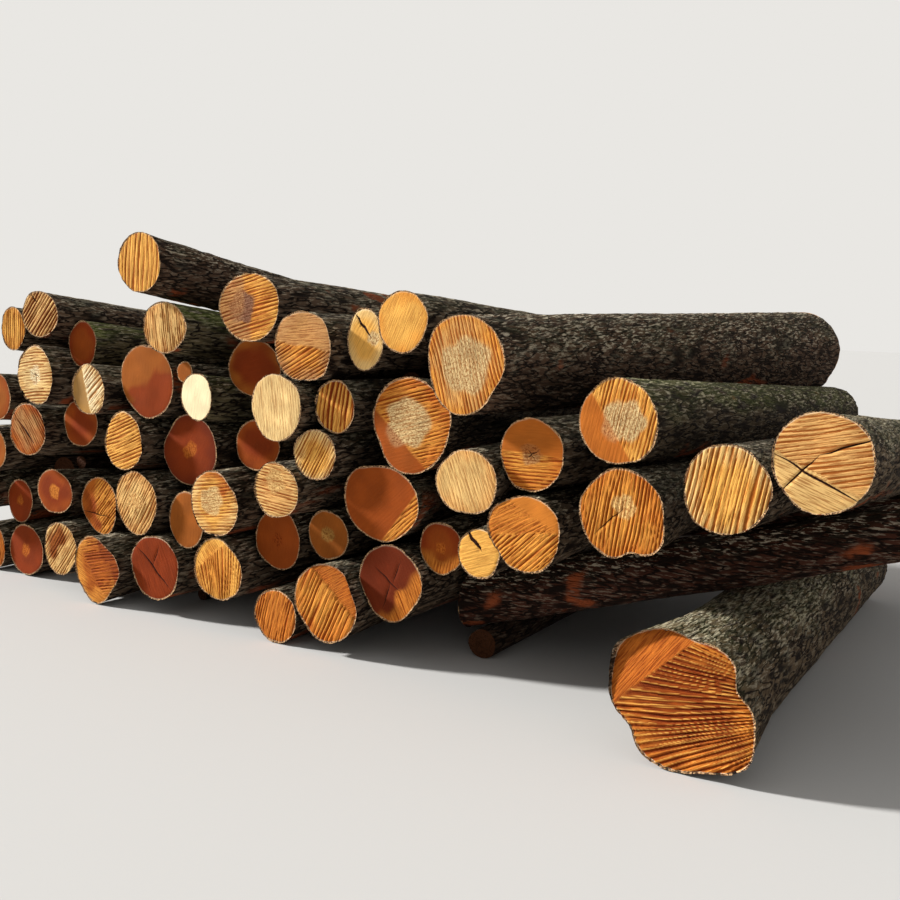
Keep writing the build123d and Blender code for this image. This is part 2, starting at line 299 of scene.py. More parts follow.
# Short names for the table
T, C = Tint, Coat
SMOOTH = (1.0, 1.0)
# The deepest reds and browns on set-back ends are partly painted shade, and the palest creams partly painted
# light.
CUTS: dict[str, Cut] = {
    "bearer_log": Cut(T.RED_BROWN, T.ORANGE, lines=188, depth=4.2, pitch=19, fan=545,
        ridge_highlight=RidgeHighlight(T.GOLD, 0.09),
        facet=Facet(edge=44, offset=0.5, lines=54, drop=2, tilt=0.22, tint=T.RUST), frayed=1.0,
        coat=C.LICHEN),
    "cross_log_front": Cut(T.RUST, T.BROWN, lines=60, coat=C.RED),
    "cross_log_rear": Cut(T.RUST, T.BROWN, lines=100, coat=C.RED),
    "log_01": Cut(T.ORANGE, T.RUST, lines=100),
    "log_02": Cut(T.DARK_RED, T.DARK_RED, lines=60, depth=1.4, heart=Heart(T.RUST), planed=SMOOTH),
    "log_03": Cut(T.BROWN, T.STRAW, lines=52, stain_and_shade=StainAndShade(T.STRAW, -60, 0.0)),
    # log_04's red-brown upper right is a painted cast shadow.
    "log_04": Cut(T.RUST, T.AMBER, lines=14, depth=3.4, stain_and_shade=StainAndShade(T.RED_BROWN, 35, 0.45),
        facet=Facet(edge=128, offset=0.25, lines=160, drop=4)),
    "log_05": Cut(T.DARK_RED, T.DARK_RED, lines=115, depth=1.6, planed=(0.6, 0.6),
        cracks=(Crack((-0.75, 0.55), (0.7, -0.6), 3.5), Crack((-0.1, 0.0), (0.2, 0.7), 2.0)), frayed=0.8),
    "log_06": Cut(T.ORANGE, T.ORANGE, lines=75, frayed=0.9),
    "log_07": Cut(T.AMBER, T.ORANGE, lines=66, depth=4.2, pitch=24,
        facet=Facet(edge=-40, offset=0.35, lines=30, drop=7, tint=T.RUST), frayed=0.8),
    "log_08": Cut(T.AMBER, T.GOLD, lines=96, depth=3.2, fan=600,
        facet=Facet(edge=36, offset=0.5, lines=130, drop=4), frayed=0.6),
    # log_09's maroon is partly painted shade, and its orange lower right is painted light.
    "log_09": Cut(T.MAROON, T.MAROON, lines=118, depth=2.6, stain_and_shade=StainAndShade(T.ORANGE, -38, 0.35),
        planed=(1.0, 0.2),
        cracks=(Crack((-0.5, 0.35), (0.35, -0.2), 2.5), Crack((0.1, 0.0), (0.3, 0.6), 2.0),
                Crack((0.0, 0.0), (-0.2, -0.7), 2.0))),
    "log_10": Cut(T.DARK_RED, T.DARK_RED, lines=80, depth=1.2, heart=Heart(T.RUST), planed=SMOOTH),
    # log_11's red-brown is partly painted shade, and its amber right half is painted light.
    "log_11": Cut(T.RED_BROWN, T.RUST, lines=48, depth=3.0, stain_and_shade=StainAndShade(T.AMBER, 0, 0.0), planed=(0.6, 0.0),
        cracks=(Crack((-0.9, -0.25), (0.6, -0.38), 2.5),)),
    "log_12": Cut(T.BROWN, T.BROWN, lines=84, depth=1.2, planed=SMOOTH),
    "log_13": Cut(T.RED_BROWN, T.RED_BROWN, lines=90, depth=1.0, heart=Heart(T.RED_BROWN), planed=SMOOTH),
    "log_14": Cut(T.BROWN, T.RED_BROWN, lines=70, heart=Heart(T.CREAM, 0.4)),
    "log_15": Cut(T.DARK_RED, T.RED_BROWN, lines=60, heart=Heart(T.ORANGE, 0.3), planed=SMOOTH),
    "log_16": Cut(T.BROWN, T.BROWN, lines=70, depth=1.2, heart=Heart(T.OCHRE, 0.3), planed=SMOOTH),
    "log_17": Cut(T.RED_BROWN, T.DARK_RED, lines=80, depth=1.2, heart=Heart(T.RUST),
        stain_and_shade=StainAndShade(T.ORANGE, -90, 0.35), planed=(1.0, 0.2)),
    "log_18": Cut(T.STRAW, T.APRICOT, lines=58, depth=3.0, heart=Heart(T.STRAW, 0.35)),
    "log_19": Cut(T.GOLD, T.GOLD, lines=20, depth=1.2, planed=(0.5, 0.5),
        cracks=(Crack((-0.6, 0.9), (0.15, 0.1), 8.0),), frayed=0.9),
    "log_20": Cut(T.GOLD, T.STRAW, lines=8, depth=3.2, heart=Heart(T.CREAM, 0.42, (-0.1, 0.1)),
        stain_and_shade=StainAndShade(T.ORANGE, 70, 0.5), frayed=0.9),
    "log_21": Cut(T.APRICOT, T.STRAW, lines=-5, depth=3.6, pitch=14, heart=Heart(T.STRAW, 0.4, (0.0, 0.35)),
        frayed=0.7),
    "log_22": Cut(T.RED_BROWN, T.BROWN, lines=80, depth=1.4, planed=SMOOTH),
    # log_23's red-brown is partly painted shade, and its amber lower right is painted light.
    "log_23": Cut(T.RED_BROWN, T.RED_BROWN, lines=42, depth=2.4, stain_and_shade=StainAndShade(T.AMBER, -38, 0.6, 0.03),
        planed=(1.0, 0.0)),
    # log_24's rust upper right is a painted cast shadow.
    "log_24": Cut(T.AMBER, T.AMBER, lines=44, depth=3.4, pitch=15, stain_and_shade=StainAndShade(T.RUST, 62, 0.5, 0.04),
        planed=(0.0, 1.0), facet=Facet(edge=8, offset=-0.02, lines=30, drop=3, tint=T.ORANGE), frayed=0.7),
    "log_25": Cut(T.AMBER, T.ORANGE, lines=82, depth=3.4, heart=Heart(T.STRAW, 0.26, (0.05, 0.18)),
        cracks=(Crack((0.05, 0.15), (-0.6, -0.5), 2.0),)),
    "log_26": Cut(T.DARK_RED, T.MAROON, lines=60, depth=1.2, heart=Heart(T.RUST), planed=SMOOTH),
    "log_27": Cut(T.TAN, T.RUST, lines=128, depth=2.8, cracks=(Crack((-0.55, 0.35), (0.45, -0.55), 4.0),),
        frayed=0.8),
    "log_28": Cut(T.DARK_RED, T.RED_BROWN, lines=70, depth=0.8, planed=SMOOTH),
    "log_29": Cut(T.DARK_RED, T.RED_BROWN, lines=100, depth=0.8, planed=SMOOTH),
    "log_30": Cut(T.GOLD, T.CREAM, lines=60, depth=3.0, pitch=15, frayed=0.6),
    "log_31": Cut(T.STRAW, T.APRICOT, lines=112, depth=1.4, planed=(0.3, 0.3), frayed=0.6),
    "log_32": Cut(T.GOLD, T.GOLD, lines=22, depth=3.2, frayed=0.8),
    "log_33": Cut(T.BROWN, T.RED_BROWN, lines=80, planed=SMOOTH),
    "log_34": Cut(T.GOLD, T.STRAW, lines=79, depth=3.4, pitch=19.5, frayed=0.6),
    # log_35's rust upper half is a painted cast shadow.
    "log_35": Cut(T.AMBER, T.ORANGE, lines=2, depth=2.8, heart=Heart(T.TAN, 0.3),
        stain_and_shade=StainAndShade(T.RUST, 88, 0.02, 0.03), planed=(0.0, 1.0),
        cracks=(Crack((-0.15, -0.1), (0.2, 0.15), 2.0), Crack((0.12, -0.15), (-0.12, 0.12), 1.6))),
    "log_36": Cut(T.APRICOT, T.APRICOT, lines=12, depth=1.5, pitch=17,
        cracks=(Crack((0.95, 0.54), (-0.07, 0.13), 3.4), Crack((-0.98, 0.12), (0.8, -0.71), 4.0),
                Crack((-0.05, 0.16), (-0.78, -0.68), 3.0)),
        facet=Facet(edge=155, offset=0.25, lines=-20, drop=0.5, tint=T.STRAW), frayed=0.7, coat=C.LICHEN),
    # log_37's pale cream is partly painted light.
    "log_37": Cut(T.PALE_CREAM, T.PALE_CREAM, lines=80, depth=0.5, planed=SMOOTH, frayed=0.2,
        coat=C.GREENISH),
    "log_38": Cut(T.RUST, T.RUST, lines=80, depth=3.6, pitch=24, ridge_highlight=RidgeHighlight(T.GOLD), frayed=0.8),
    # log_39's ochre left half is a painted cast shadow, and its pale cream is partly painted light.
    "log_39": Cut(T.PALE_CREAM, T.CREAM, lines=42, depth=2.8, pitch=20,
        stain_and_shade=StainAndShade(T.OCHRE, 195, 0.12, 0.03), planed=(0.0, 1.0),
        facet=Facet(edge=105, offset=0.12, lines=100, drop=4)),
    # log_40's red-brown lower left is a painted cast shadow.
    "log_40": Cut(T.AMBER, T.ORANGE, lines=16, depth=3.6, heart=Heart(T.SAND, 0.5, (-0.1, 0.06)),
        stain_and_shade=StainAndShade(T.RED_BROWN, 229, 0.38, 0.03), planed=(0.0, 1.0), frayed=0.6),
    "log_41": Cut(T.CREAM, T.CREAM, lines=98, depth=1.1, planed=(0.35, 0.35), frayed=0.5),
    "log_42": Cut(T.BROWN, T.BROWN, lines=80, depth=0.6, stain_and_shade=StainAndShade(T.DARK_RED, -60, 0.0), planed=SMOOTH),
    "log_43": Cut(T.BROWN, T.BROWN, lines=80, depth=0.8, planed=SMOOTH),
    "log_44": Cut(T.CREAM, T.STRAW, lines=6, depth=2.8, heart=Heart(T.PALE_CREAM, 0.3),
        cracks=(Crack((-0.05, 0.25), (0.1, -0.3), 1.5), Crack((-0.25, 0.1), (0.3, -0.1), 1.5)), frayed=1.0),
    # log_45's rust lower left is a painted cast shadow.
    "log_45": Cut(T.AMBER, T.GOLD, lines=78, depth=2.2, heart=Heart(T.SAND, 0.5, (0.12, 0.02)),
        stain_and_shade=StainAndShade(T.RUST, 215, 0.2, 0.03), planed=(0.0, 0.8), frayed=0.4, coat=C.DAMP),
    "log_46": Cut(T.DARK_RED, T.BROWN, lines=20, depth=1.4, planed=SMOOTH),
    "log_47": Cut(T.GOLD, T.AMBER, lines=86, depth=3.0, frayed=0.6),
    "log_48": Cut(T.APRICOT, T.AMBER, lines=106, depth=1.9, pitch=17,
        heart=Heart(T.SAND, 0.62, (0.0, -0.05)), frayed=0.3, coat=C.BROWN),
    "log_49": Cut(T.RED_BROWN, T.DARK_RED, lines=80, depth=0.6, planed=SMOOTH, frayed=0.2, coat=C.MOSSY),
    "log_50": Cut(T.AMBER, T.TAN, lines=28, depth=3.4, pitch=15,
        facet=Facet(edge=-8, offset=0.0, lines=4, drop=1, tint=T.TAN), frayed=0.5),
    "log_51": Cut(T.GOLD, T.STRAW, lines=60, depth=1.3, heart=Heart(T.SAND, 0.28, (0.35, 0.05)),
        planed=(0.7, 0.7), cracks=(Crack((-0.5, 0.95), (0.3, 0.05), 6.0),), frayed=0.7),
    "log_52": Cut(T.BROWN, T.BROWN, lines=48, depth=4.0, pitch=20, ridge_highlight=RidgeHighlight(T.STRAW),
        cracks=(Crack((-0.55, 0.75), (-0.1, 0.45), 4.0),), coat=C.PEELING),
    "log_53": Cut(T.STRAW, T.APRICOT, lines=96, depth=3.2, pitch=14, frayed=0.9, coat=C.MOSSY),
    "log_54": Cut(T.GOLD, T.AMBER, lines=66, depth=0.5, planed=(0.5, 0.5), frayed=0.5),
    "log_55": Cut(T.AMBER, T.GOLD, lines=14, depth=2.6, heart=Heart(T.MAUVE, 0.42, (-0.25, 0.0)),
        stain_and_shade=StainAndShade(T.TAN, 190, 0.15), frayed=0.9, coat=C.PEELING),
    "log_56": Cut(T.GOLD, T.GOLD, lines=86, depth=2.6, pitch=26, frayed=0.4, coat=C.BROWN),
}


class Detail(Enum):
    """How finely a log's bark is modelled, by how much of it shows."""

    FULL = (1, 15.0, 26.0)
    OPEN = (2, 24.0, 30.0)
    SIDE = (2, 40.0, 55.0)
    PACKED = (2, 150.0, 260.0)

    def __init__(self, every: int, near: float, far: float) -> None:
        """Names the numbers.

        Args:
            every: 1 to use each point of the end's ring, 2 for every other one.
            near: Spacing of the rings near the front, in millimetres.
            far: Their spacing further back.
        """
        self.every, self.near, self.far = every, near, far


DETAILS: dict[Detail, tuple[str, ...]] = {
    Detail.FULL: ("log_48", "log_55", "log_56", "log_36", "cross_log_front"),
    Detail.OPEN: ("log_45", "log_52", "log_50", "log_53", "log_54", "log_51", "bearer_log", "log_47",
                  "log_34", "log_44", "log_35"),
    Detail.SIDE: ("log_14", "log_01", "log_22", "log_33", "log_49", "log_25", "log_31", "log_42",
                  "log_24", "log_07", "cross_log_rear"),
}


# Meshes

@dataclass(frozen=True)
class Outline:
    """A cross-section of a log, in millimetres: where along it, its middle and its radii."""

    along: float
    middle: np.ndarray
    radii: np.ndarray

    SAMPLES = 360   # radii read around the section
    FINER = 12      # points read on each flat between two corners
    HARMONICS = 14  # waves kept around the section
    ROOM = 1.2      # how far inside the corners the section stays, in millimetres

    @classmethod
    def around(cls, along: float, points: np.ndarray) -> "Outline":
        """Makes a smooth section through the corners of a CAD section.

        Args:
            along: Distance along the log's axis.
            points: Corners, as right and up.

        Returns:
            The section, a little inside its corners.
        """
        middle = points.mean(axis=0)
        arms = points - middle
        arms = arms[np.argsort(np.arctan2(arms[:, 1], arms[:, 0]))]
        nearer, further = arms, np.roll(arms, -1, axis=0)
        shares = np.linspace(0, 1, cls.FINER, endpoint=False)[:, None, None]
        fine = (nearer + (further - nearer) * shares).transpose(1, 0, 2).reshape(-1, 2)
        angles = np.arctan2(fine[:, 1], fine[:, 0])
        even = np.arange(cls.SAMPLES) * TURN / cls.SAMPLES
        radii = np.interp(even, *cls.ordered(angles, np.hypot(*fine.T)), period=TURN)
        waves = np.fft.rfft(radii)
        waves[cls.HARMONICS + 1:] = 0
        return cls(along, middle, np.fft.irfft(waves, cls.SAMPLES) - cls.ROOM)

    @staticmethod
    def ordered(angles: np.ndarray, radii: np.ndarray) -> Arrays:
        """Sorts angles and their radii.

        Args:
            angles: Angles in any order and turn, in radians.
            radii: Radius at each.

        Returns:
            The angles from 0 to a full turn in rising order, and their radii.
        """
        angles = angles % TURN
        order = np.argsort(angles)
        return angles[order], radii[order]

    def radius(self, angles: np.ndarray) -> np.ndarray:
        """Radius of the section at each angle."""
        even = np.arange(self.SAMPLES) * TURN / self.SAMPLES
        return np.interp(angles % TURN, even, self.radii, period=TURN)

    def stretch(self) -> np.ndarray:
        """Finds the ellipse nearest to the section.

        Returns:
            Matrix that turns the unit circle into it.
        """
        even = np.arange(self.SAMPLES) * TURN / self.SAMPLES
        ray = np.stack([np.cos(even), np.sin(even)])
        spread = (ray * self.radii**4 / 4) @ ray.T / (self.radii**2 / 2).sum()
        sizes, axes = np.linalg.eigh(spread)
        return axes @ np.diag(2 * np.sqrt(sizes)) @ axes.T


class ChordDisc:
    """Points of a round end in rows along the saw lines, so that the lines stay sharp."""

    POLE_STEP = math.radians(3.8)   # widest step around the ring
    LEAST = 0.02                    # keeps the step near the poles finite

    def __init__(self, size: float, row: float, turn: float) -> None:
        """Lays out the rows.

        Args:
            size: Radius of the end, in millimetres.
            row: Spacing of the rows, in millimetres.
            turn: Direction of the rows on the unit disc, in radians.
        """
        half = [0.0]
        while half[-1] < math.pi / 2:
            half.append(half[-1] + min(self.POLE_STEP, row / (size * max(math.cos(half[-1]), self.LEAST))))
        quarter = np.array(half) * (math.pi / 2) / half[-1]
        self.rows = np.concatenate([-quarter[:0:-1], quarter])
        self.size, self.turn = size, turn
        count = len(self.rows) - 1
        left = math.pi - self.rows[count - 1:0:-1]
        self.ring = np.concatenate([self.rows, left]) + turn

    def fill(self, spacing: float, every: int = 1) -> tuple[np.ndarray, list[tuple[int, ...]], int]:
        """Fills the disc with points and triangles.

        Args:
            spacing: Distance between points along a row, in millimetres.
            every: Uses each row (1) or every other row and ring point (2).

        Returns:
            Inner points on the unit disc, triangles whose first numbers are the ring's points,
            and the number of ring points.
        """
        count = len(self.rows) - 1
        ring_count = 2 * count // every
        inner: list[np.ndarray] = []
        rows: list[list[tuple[float, int]]] = []
        total = ring_count
        for row in range(0, count + 1, every):
            reach, level = math.cos(self.rows[row]), math.sin(self.rows[row])
            right, left = row // every, (2 * count - row) // every % ring_count
            if right == left or row in (0, count):
                rows.append([(0.0, right)])
                continue
            points = max(1, round(2 * reach * self.size / spacing) - 1)
            spots = np.linspace(-reach, reach, points + 2)[1:-1]
            inner.append(np.stack([spots, np.full(points, level)], axis=1))
            numbers = list(range(total, total + points))
            total += points
            rows.append([(-reach, left), *zip(spots.tolist(), numbers), (reach, right)])
        triangles: list[tuple[int, ...]] = []
        for lower, upper in zip(rows, rows[1:]):
            near, far = 0, 0
            while near < len(lower) - 1 or far < len(upper) - 1:
                step_low = lower[near + 1][0] if near < len(lower) - 1 else math.inf
                step_high = upper[far + 1][0] if far < len(upper) - 1 else math.inf
                if step_low <= step_high:
                    triangles.append((lower[near][1], lower[near + 1][1], upper[far][1]))
                    near += 1
                else:
                    triangles.append((lower[near][1], upper[far + 1][1], upper[far][1]))
                    far += 1
        points = np.concatenate(inner)
        cosine, sine = math.cos(self.turn), math.sin(self.turn)
        return points @ np.array([[cosine, sine], [-sine, cosine]]), triangles, ring_count


@dataclass
class SawnFace:
    """The sawn wood of a log's end at a set of points: saw lines, cracks, steps and colour."""

    cut: Cut
    size: float         # mean radius of the end, in millimetres
    seed: int           # makes this end differ from the others
    spot: np.ndarray    # the points, from the end's middle, in millimetres

    DEEPENED = 1.55                         # the saw's bar digs deeper than the lines look from afar
    SLOPE, STEP = 0.68, 0.32                # shares of a line's pitch on its long slope and its steep step
    SHARPNESS, DEEPEST = 1.3, 1.3           # how narrow the bottom of a line is, and the most it can deepen
    WEAKEST = 0.35                          # least strength of a line
    STROKE, STROKE_SHIFT = 170.0, 3.7  # length of one stroke of the saw in millimetres, and their stagger
    DRIFT_CELLS = (240.0, 60.0)             # how fast the lines wander along and across, in millimetres
    DRIFT, FINE_DRIFT = 1.4, 0.6            # how far they wander in pitches, and the fine lines' share of it
    FINE_PITCH, FINE_SHARE = 0.37, 0.3      # finer lines between them, as shares of their pitch and depth
    WAVE, WAVE_DEPTH = 90.0, 4.0            # broad waves of the cut, in millimetres
    PIT, PIT_DEPTH = 9.0, 2.2               # pits in the rough heart, in millimetres
    PLANED_OFF, HEART_WORN = 0.9, 0.5       # how much of the lines a smooth cut and the heart lose
    FACET_CALM = 0.8                        # how much of them a facet loses whose lines run crosswise
    EDGE_CELL, EDGE_WANDER, EDGE_SOFT = 40.0, 12.0, 4.0  # course of the facet's edge, in millimetres
    CRACK_LIPS, CRACK_DEPTH, CRACK_MOST = 5.0, 2.2, 3.0  # how a crack's lips sink in
    CRACKS, CRACK_FAR, CRACK_NONE, CRACK_WANDER = 3, 90.0, -9.0, 9.0  # number, and millimetres
    CRACK_BENDS, CRACK_ROW = 5, 3.3         # bends along a crack, and the row of the pattern they follow
    HEART_LOBES, HEART_ROW = 12, 4.2        # lobes around the heart, and the row of the pattern they follow
    HEART_LEAST, HEART_LOBED = 0.8, 0.5     # least reach of the heart, and what its lobes add
    HEART_EDGE, HEART_PITTED = (0.86, 1.04), (0.6, 1.2)  # where its colour and its pits end
    BLOTCH = 55.0                           # patches of colour, in millimetres
    BLOTCH_WANDER = 0.5                     # how far they push the rim's colour and a soft second colour about
    UNEVEN_FROM = 0.1                       # a second colour with a softer edge than this is uneven too
    RIM_FROM, RIM_FULL = 0.45, 1.05         # where the rim's colour comes in, from the middle outwards
    STAIN_COVER, HEART_STAINED, FACET_COVER, STRIPE_COVER = 0.94, 0.65, 0.85, 0.9
    RIDGE_HIGHLIGHT_FULL = 0.4                       # share of the ridge highlight's reach over which it is full
    DARKEST, BLOTCH_LIFT = 0.88, 0.26       # lightness of the darkest blotch, and what the palest adds
    LINE_SHIFT, SHIFT = 20, 30              # moves the patterns' seams off the end, in cells

    def mottle(self, cell: float, layer: Layer) -> np.ndarray:
        """Uneven values from 0 to 1 over the end, with cells of that size in millimetres."""
        across, up = self.spot.T / cell + self.SHIFT
        return speckle(across, up, self.seed + layer)

    @cached_property
    def blotch(self) -> np.ndarray:
        """Broad uneven patches, from 0 to 1."""
        return self.mottle(self.BLOTCH, Layer.BLOTCHES)

    @cached_property
    def facet_share(self) -> np.ndarray:
        """How far each point belongs to the second facet.

        Returns:
            Shares from 0 to 1.
        """
        if self.cut.facet is None:
            return np.zeros(len(self.spot))
        wander = self.EDGE_WANDER * (self.mottle(self.EDGE_CELL, Layer.FACET_EDGE) - 0.5)
        return ease(self.beyond_edge + wander, -self.EDGE_SOFT, self.EDGE_SOFT)

    @cached_property
    def beyond_edge(self) -> np.ndarray:
        """How far each point lies beyond the second facet's edge, in millimetres."""
        return self.spot @ directions(self.cut.facet.edge)[1] - self.cut.facet.offset * self.size

    def saw_lines(self, lines: float, fan: float) -> Arrays:
        """Coordinates along and across the saw lines.

        Args:
            lines: Direction of the lines, in degrees.
            fan: Distance of the point that they fan out from, 0 for parallel lines.

        Returns:
            Distance along and across the lines, in millimetres.
        """
        along, across = (self.spot @ direction for direction in directions(lines))
        if fan:
            across = np.arctan2(across, along + fan) * fan
        return along, across

    def groove(self, along: np.ndarray, across: np.ndarray) -> np.ndarray:
        """Depth of the saw lines where nothing smooths them.

        Args:
            along: Distance along the lines, in millimetres.
            across: Distance across them.

        Returns:
            Depth from 0 on a ridge to about 1 in a line.
        """
        pitch, (long, wide) = self.cut.pitch, self.DRIFT_CELLS
        drift = speckle(along / long + self.LINE_SHIFT, across / wide + self.LINE_SHIFT,
                        self.seed + Layer.LINE_DRIFT)
        drift = (drift - 0.5) * self.DRIFT * pitch
        phase = (across + drift) / pitch + 2 * self.LINE_SHIFT
        stroke = np.floor(phase)
        share = phase - stroke
        profile = np.where(share < self.SLOPE, share / self.SLOPE, (1 - share) / self.STEP)
        strength = self.WEAKEST + speckle(
            along / self.STROKE + stroke * self.STROKE_SHIFT, stroke, self.seed + Layer.LINE_STRENGTH)
        fine_phase = (across + drift * self.FINE_DRIFT) / (pitch * self.FINE_PITCH) + 3 * self.LINE_SHIFT
        fine = np.abs(2 * (fine_phase - np.floor(fine_phase)) - 1)
        coarse = (1 - profile)**self.SHARPNESS * strength
        return np.clip(coarse + self.FINE_SHARE * (fine - 0.5), 0, self.DEEPEST)

    def relief(self) -> Arrays:
        """Depth of the surface and coordinates for the finer grain.

        Returns:
            Depth below the CAD end, in millimetres, and rows of along, across and groove share.
        """
        cut, facet = self.cut, self.facet_share
        along, across = self.saw_lines(cut.lines, cut.fan)
        if cut.facet is not None:
            other_along, other_across = self.saw_lines(cut.facet.lines, 0.0)
            there = facet > 0.5
            along, across = np.where(there, other_along, along), np.where(there, other_across, across)
        smoothed = (1 - self.PLANED_OFF * self.planed), (1 - self.HEART_WORN * self.heart_share)
        groove = self.groove(along, across) * smoothed[0] * smoothed[1]
        if cut.facet is not None:
            turned = abs(math.sin(math.radians(cut.facet.lines - cut.lines)))
            groove = groove * (1 - self.FACET_CALM * min(1.0, 2 * turned) * facet)
        waves = self.WAVE_DEPTH * self.mottle(self.WAVE, Layer.WAVES)
        depth = groove * cut.depth * self.DEEPENED + waves
        if cut.facet is not None:
            sunk = cut.facet.tilt * np.maximum(self.beyond_edge, 0.0)
            depth = depth + facet * (cut.facet.drop + sunk)
        if cut.heart is not None:
            pits = self.PIT_DEPTH * self.mottle(self.PIT, Layer.HEART_PITS)
            depth = depth + pits * (1 - ease(self.from_heart, *self.HEART_PITTED))
        gaps, widths = self.cracks
        opened = np.exp(-(gaps / self.CRACK_LIPS) ** 2) * (widths > 0) * np.clip(widths, 0, self.CRACK_MOST)
        opened = opened * self.CRACK_DEPTH
        return depth + opened.max(axis=1), np.stack([along, across, groove], axis=1)

    @cached_property
    def from_heart(self) -> np.ndarray:
        """Distance from the heart's middle to each point.

        Returns:
            Distances in shares of the heart's uneven size.
        """
        away = self.spot / self.size - np.array(self.cut.heart.place)
        turns = np.arctan2(away[:, 1], away[:, 0])
        lobes = girdle(turns, self.HEART_LOBES, self.HEART_ROW, self.seed + Layer.HEART_EDGE)
        return np.hypot(*away.T) / self.cut.heart.size / (self.HEART_LEAST + self.HEART_LOBED * lobes)

    @cached_property
    def heart_share(self) -> np.ndarray:
        """How far each point belongs to the rough heart.

        Returns:
            Shares from 0 to 1.
        """
        if self.cut.heart is None:
            return np.zeros(len(self.spot))
        return 1 - ease(self.from_heart, *self.HEART_EDGE)

    @cached_property
    def stain_and_shade_share(self) -> np.ndarray:
        """How far each point belongs to the second colour.

        Returns:
            Shares from 0 to 1.
        """
        stain_and_shade = self.cut.stain_and_shade
        if stain_and_shade is None:
            return np.zeros(len(self.spot))
        toward = self.spot @ directions(stain_and_shade.side)[0] / self.size
        if stain_and_shade.soft > self.UNEVEN_FROM:
            toward = toward + self.BLOTCH_WANDER * (self.blotch - 0.5)
        return ease(toward, stain_and_shade.edge - stain_and_shade.soft, stain_and_shade.edge + stain_and_shade.soft)

    @cached_property
    def planed(self) -> np.ndarray:
        """How smooth the wood is at each point, from 0 to 1."""
        plain, under_stain_and_shade = self.cut.planed
        return plain + (under_stain_and_shade - plain) * self.stain_and_shade_share

    @cached_property
    def cracks(self) -> Arrays:
        """Where the end's cracks run.

        Returns:
            Signed distance of each point to each crack, and the crack's half width there, in
            millimetres; a crack that the end lacks is far away and has a width below 0.
        """
        gaps = np.full((len(self.spot), self.CRACKS), self.CRACK_FAR)
        widths = np.full((len(self.spot), self.CRACKS), self.CRACK_NONE)
        for place, crack in enumerate(self.cut.cracks[:self.CRACKS]):
            start, end = np.array(crack.start) * self.size, np.array(crack.end) * self.size
            run = end - start
            length = np.linalg.norm(run)
            heading = run / length
            progress = (self.spot - start) @ heading / length
            wander = speckle(progress * self.CRACK_BENDS + self.LINE_SHIFT, self.CRACK_ROW + place,
                             self.seed + Layer.CRACKS) - 0.5
            beside = (self.spot - start) @ np.array([-heading[1], heading[0]])
            gaps[:, place] = beside + self.CRACK_WANDER * wander
            widths[:, place] = crack.width * (1 - ((progress - 0.5) / 0.5) ** 2)
        return gaps, widths

    def paint(self, rho: np.ndarray, groove: np.ndarray) -> np.ndarray:
        """Colour of the wood at each point, with its painted shade and light, as linear red, green, blue and
        alpha.

        Args:
            rho: Share of the way from the middle to the rim.
            groove: How deep in a saw line the point lies, from 0 to 1.

        Returns:
            One row of four values for each point.
        """
        cut = self.cut
        rim = ease(rho + self.BLOTCH_WANDER * (self.blotch - 0.5), self.RIM_FROM, self.RIM_FULL)
        colour = blend_of(cut.tint.rgb(), cut.rim.rgb(), rim)
        # Painted shade and painted light: the second colour covers one side of many ends.
        if cut.stain_and_shade is not None:
            colour = blend_of(colour, cut.stain_and_shade.tint.rgb(), self.STAIN_COVER * self.stain_and_shade_share)
        if cut.facet is not None and cut.facet.tint is not None:
            colour = blend_of(colour, cut.facet.tint.rgb(), self.FACET_COVER * self.facet_share)
        if cut.heart is not None:
            heart = np.tile(cut.heart.tint.rgb(), (len(self.spot), 1))
            # Under the second colour, painted shade included, the heart takes on part of it.
            if cut.stain_and_shade is not None:
                heart = blend_of(heart, cut.stain_and_shade.tint.rgb(), self.HEART_STAINED * self.stain_and_shade_share)
            colour = blend_of(colour, heart, self.heart_share)
        # Painted highlight on the ridges between the saw lines.
        if cut.ridge_highlight is not None:
            full, reach = self.RIDGE_HIGHLIGHT_FULL * cut.ridge_highlight.reach, cut.ridge_highlight.reach
            between = (1 - ease(groove, full, reach)) * (1 - self.facet_share)
            colour = blend_of(colour, cut.ridge_highlight.tint.rgb(), self.STRIPE_COVER * between)
        colour[:, :3] *= (self.DARKEST + self.BLOTCH_LIFT * self.blotch)[:, None]
        return colour


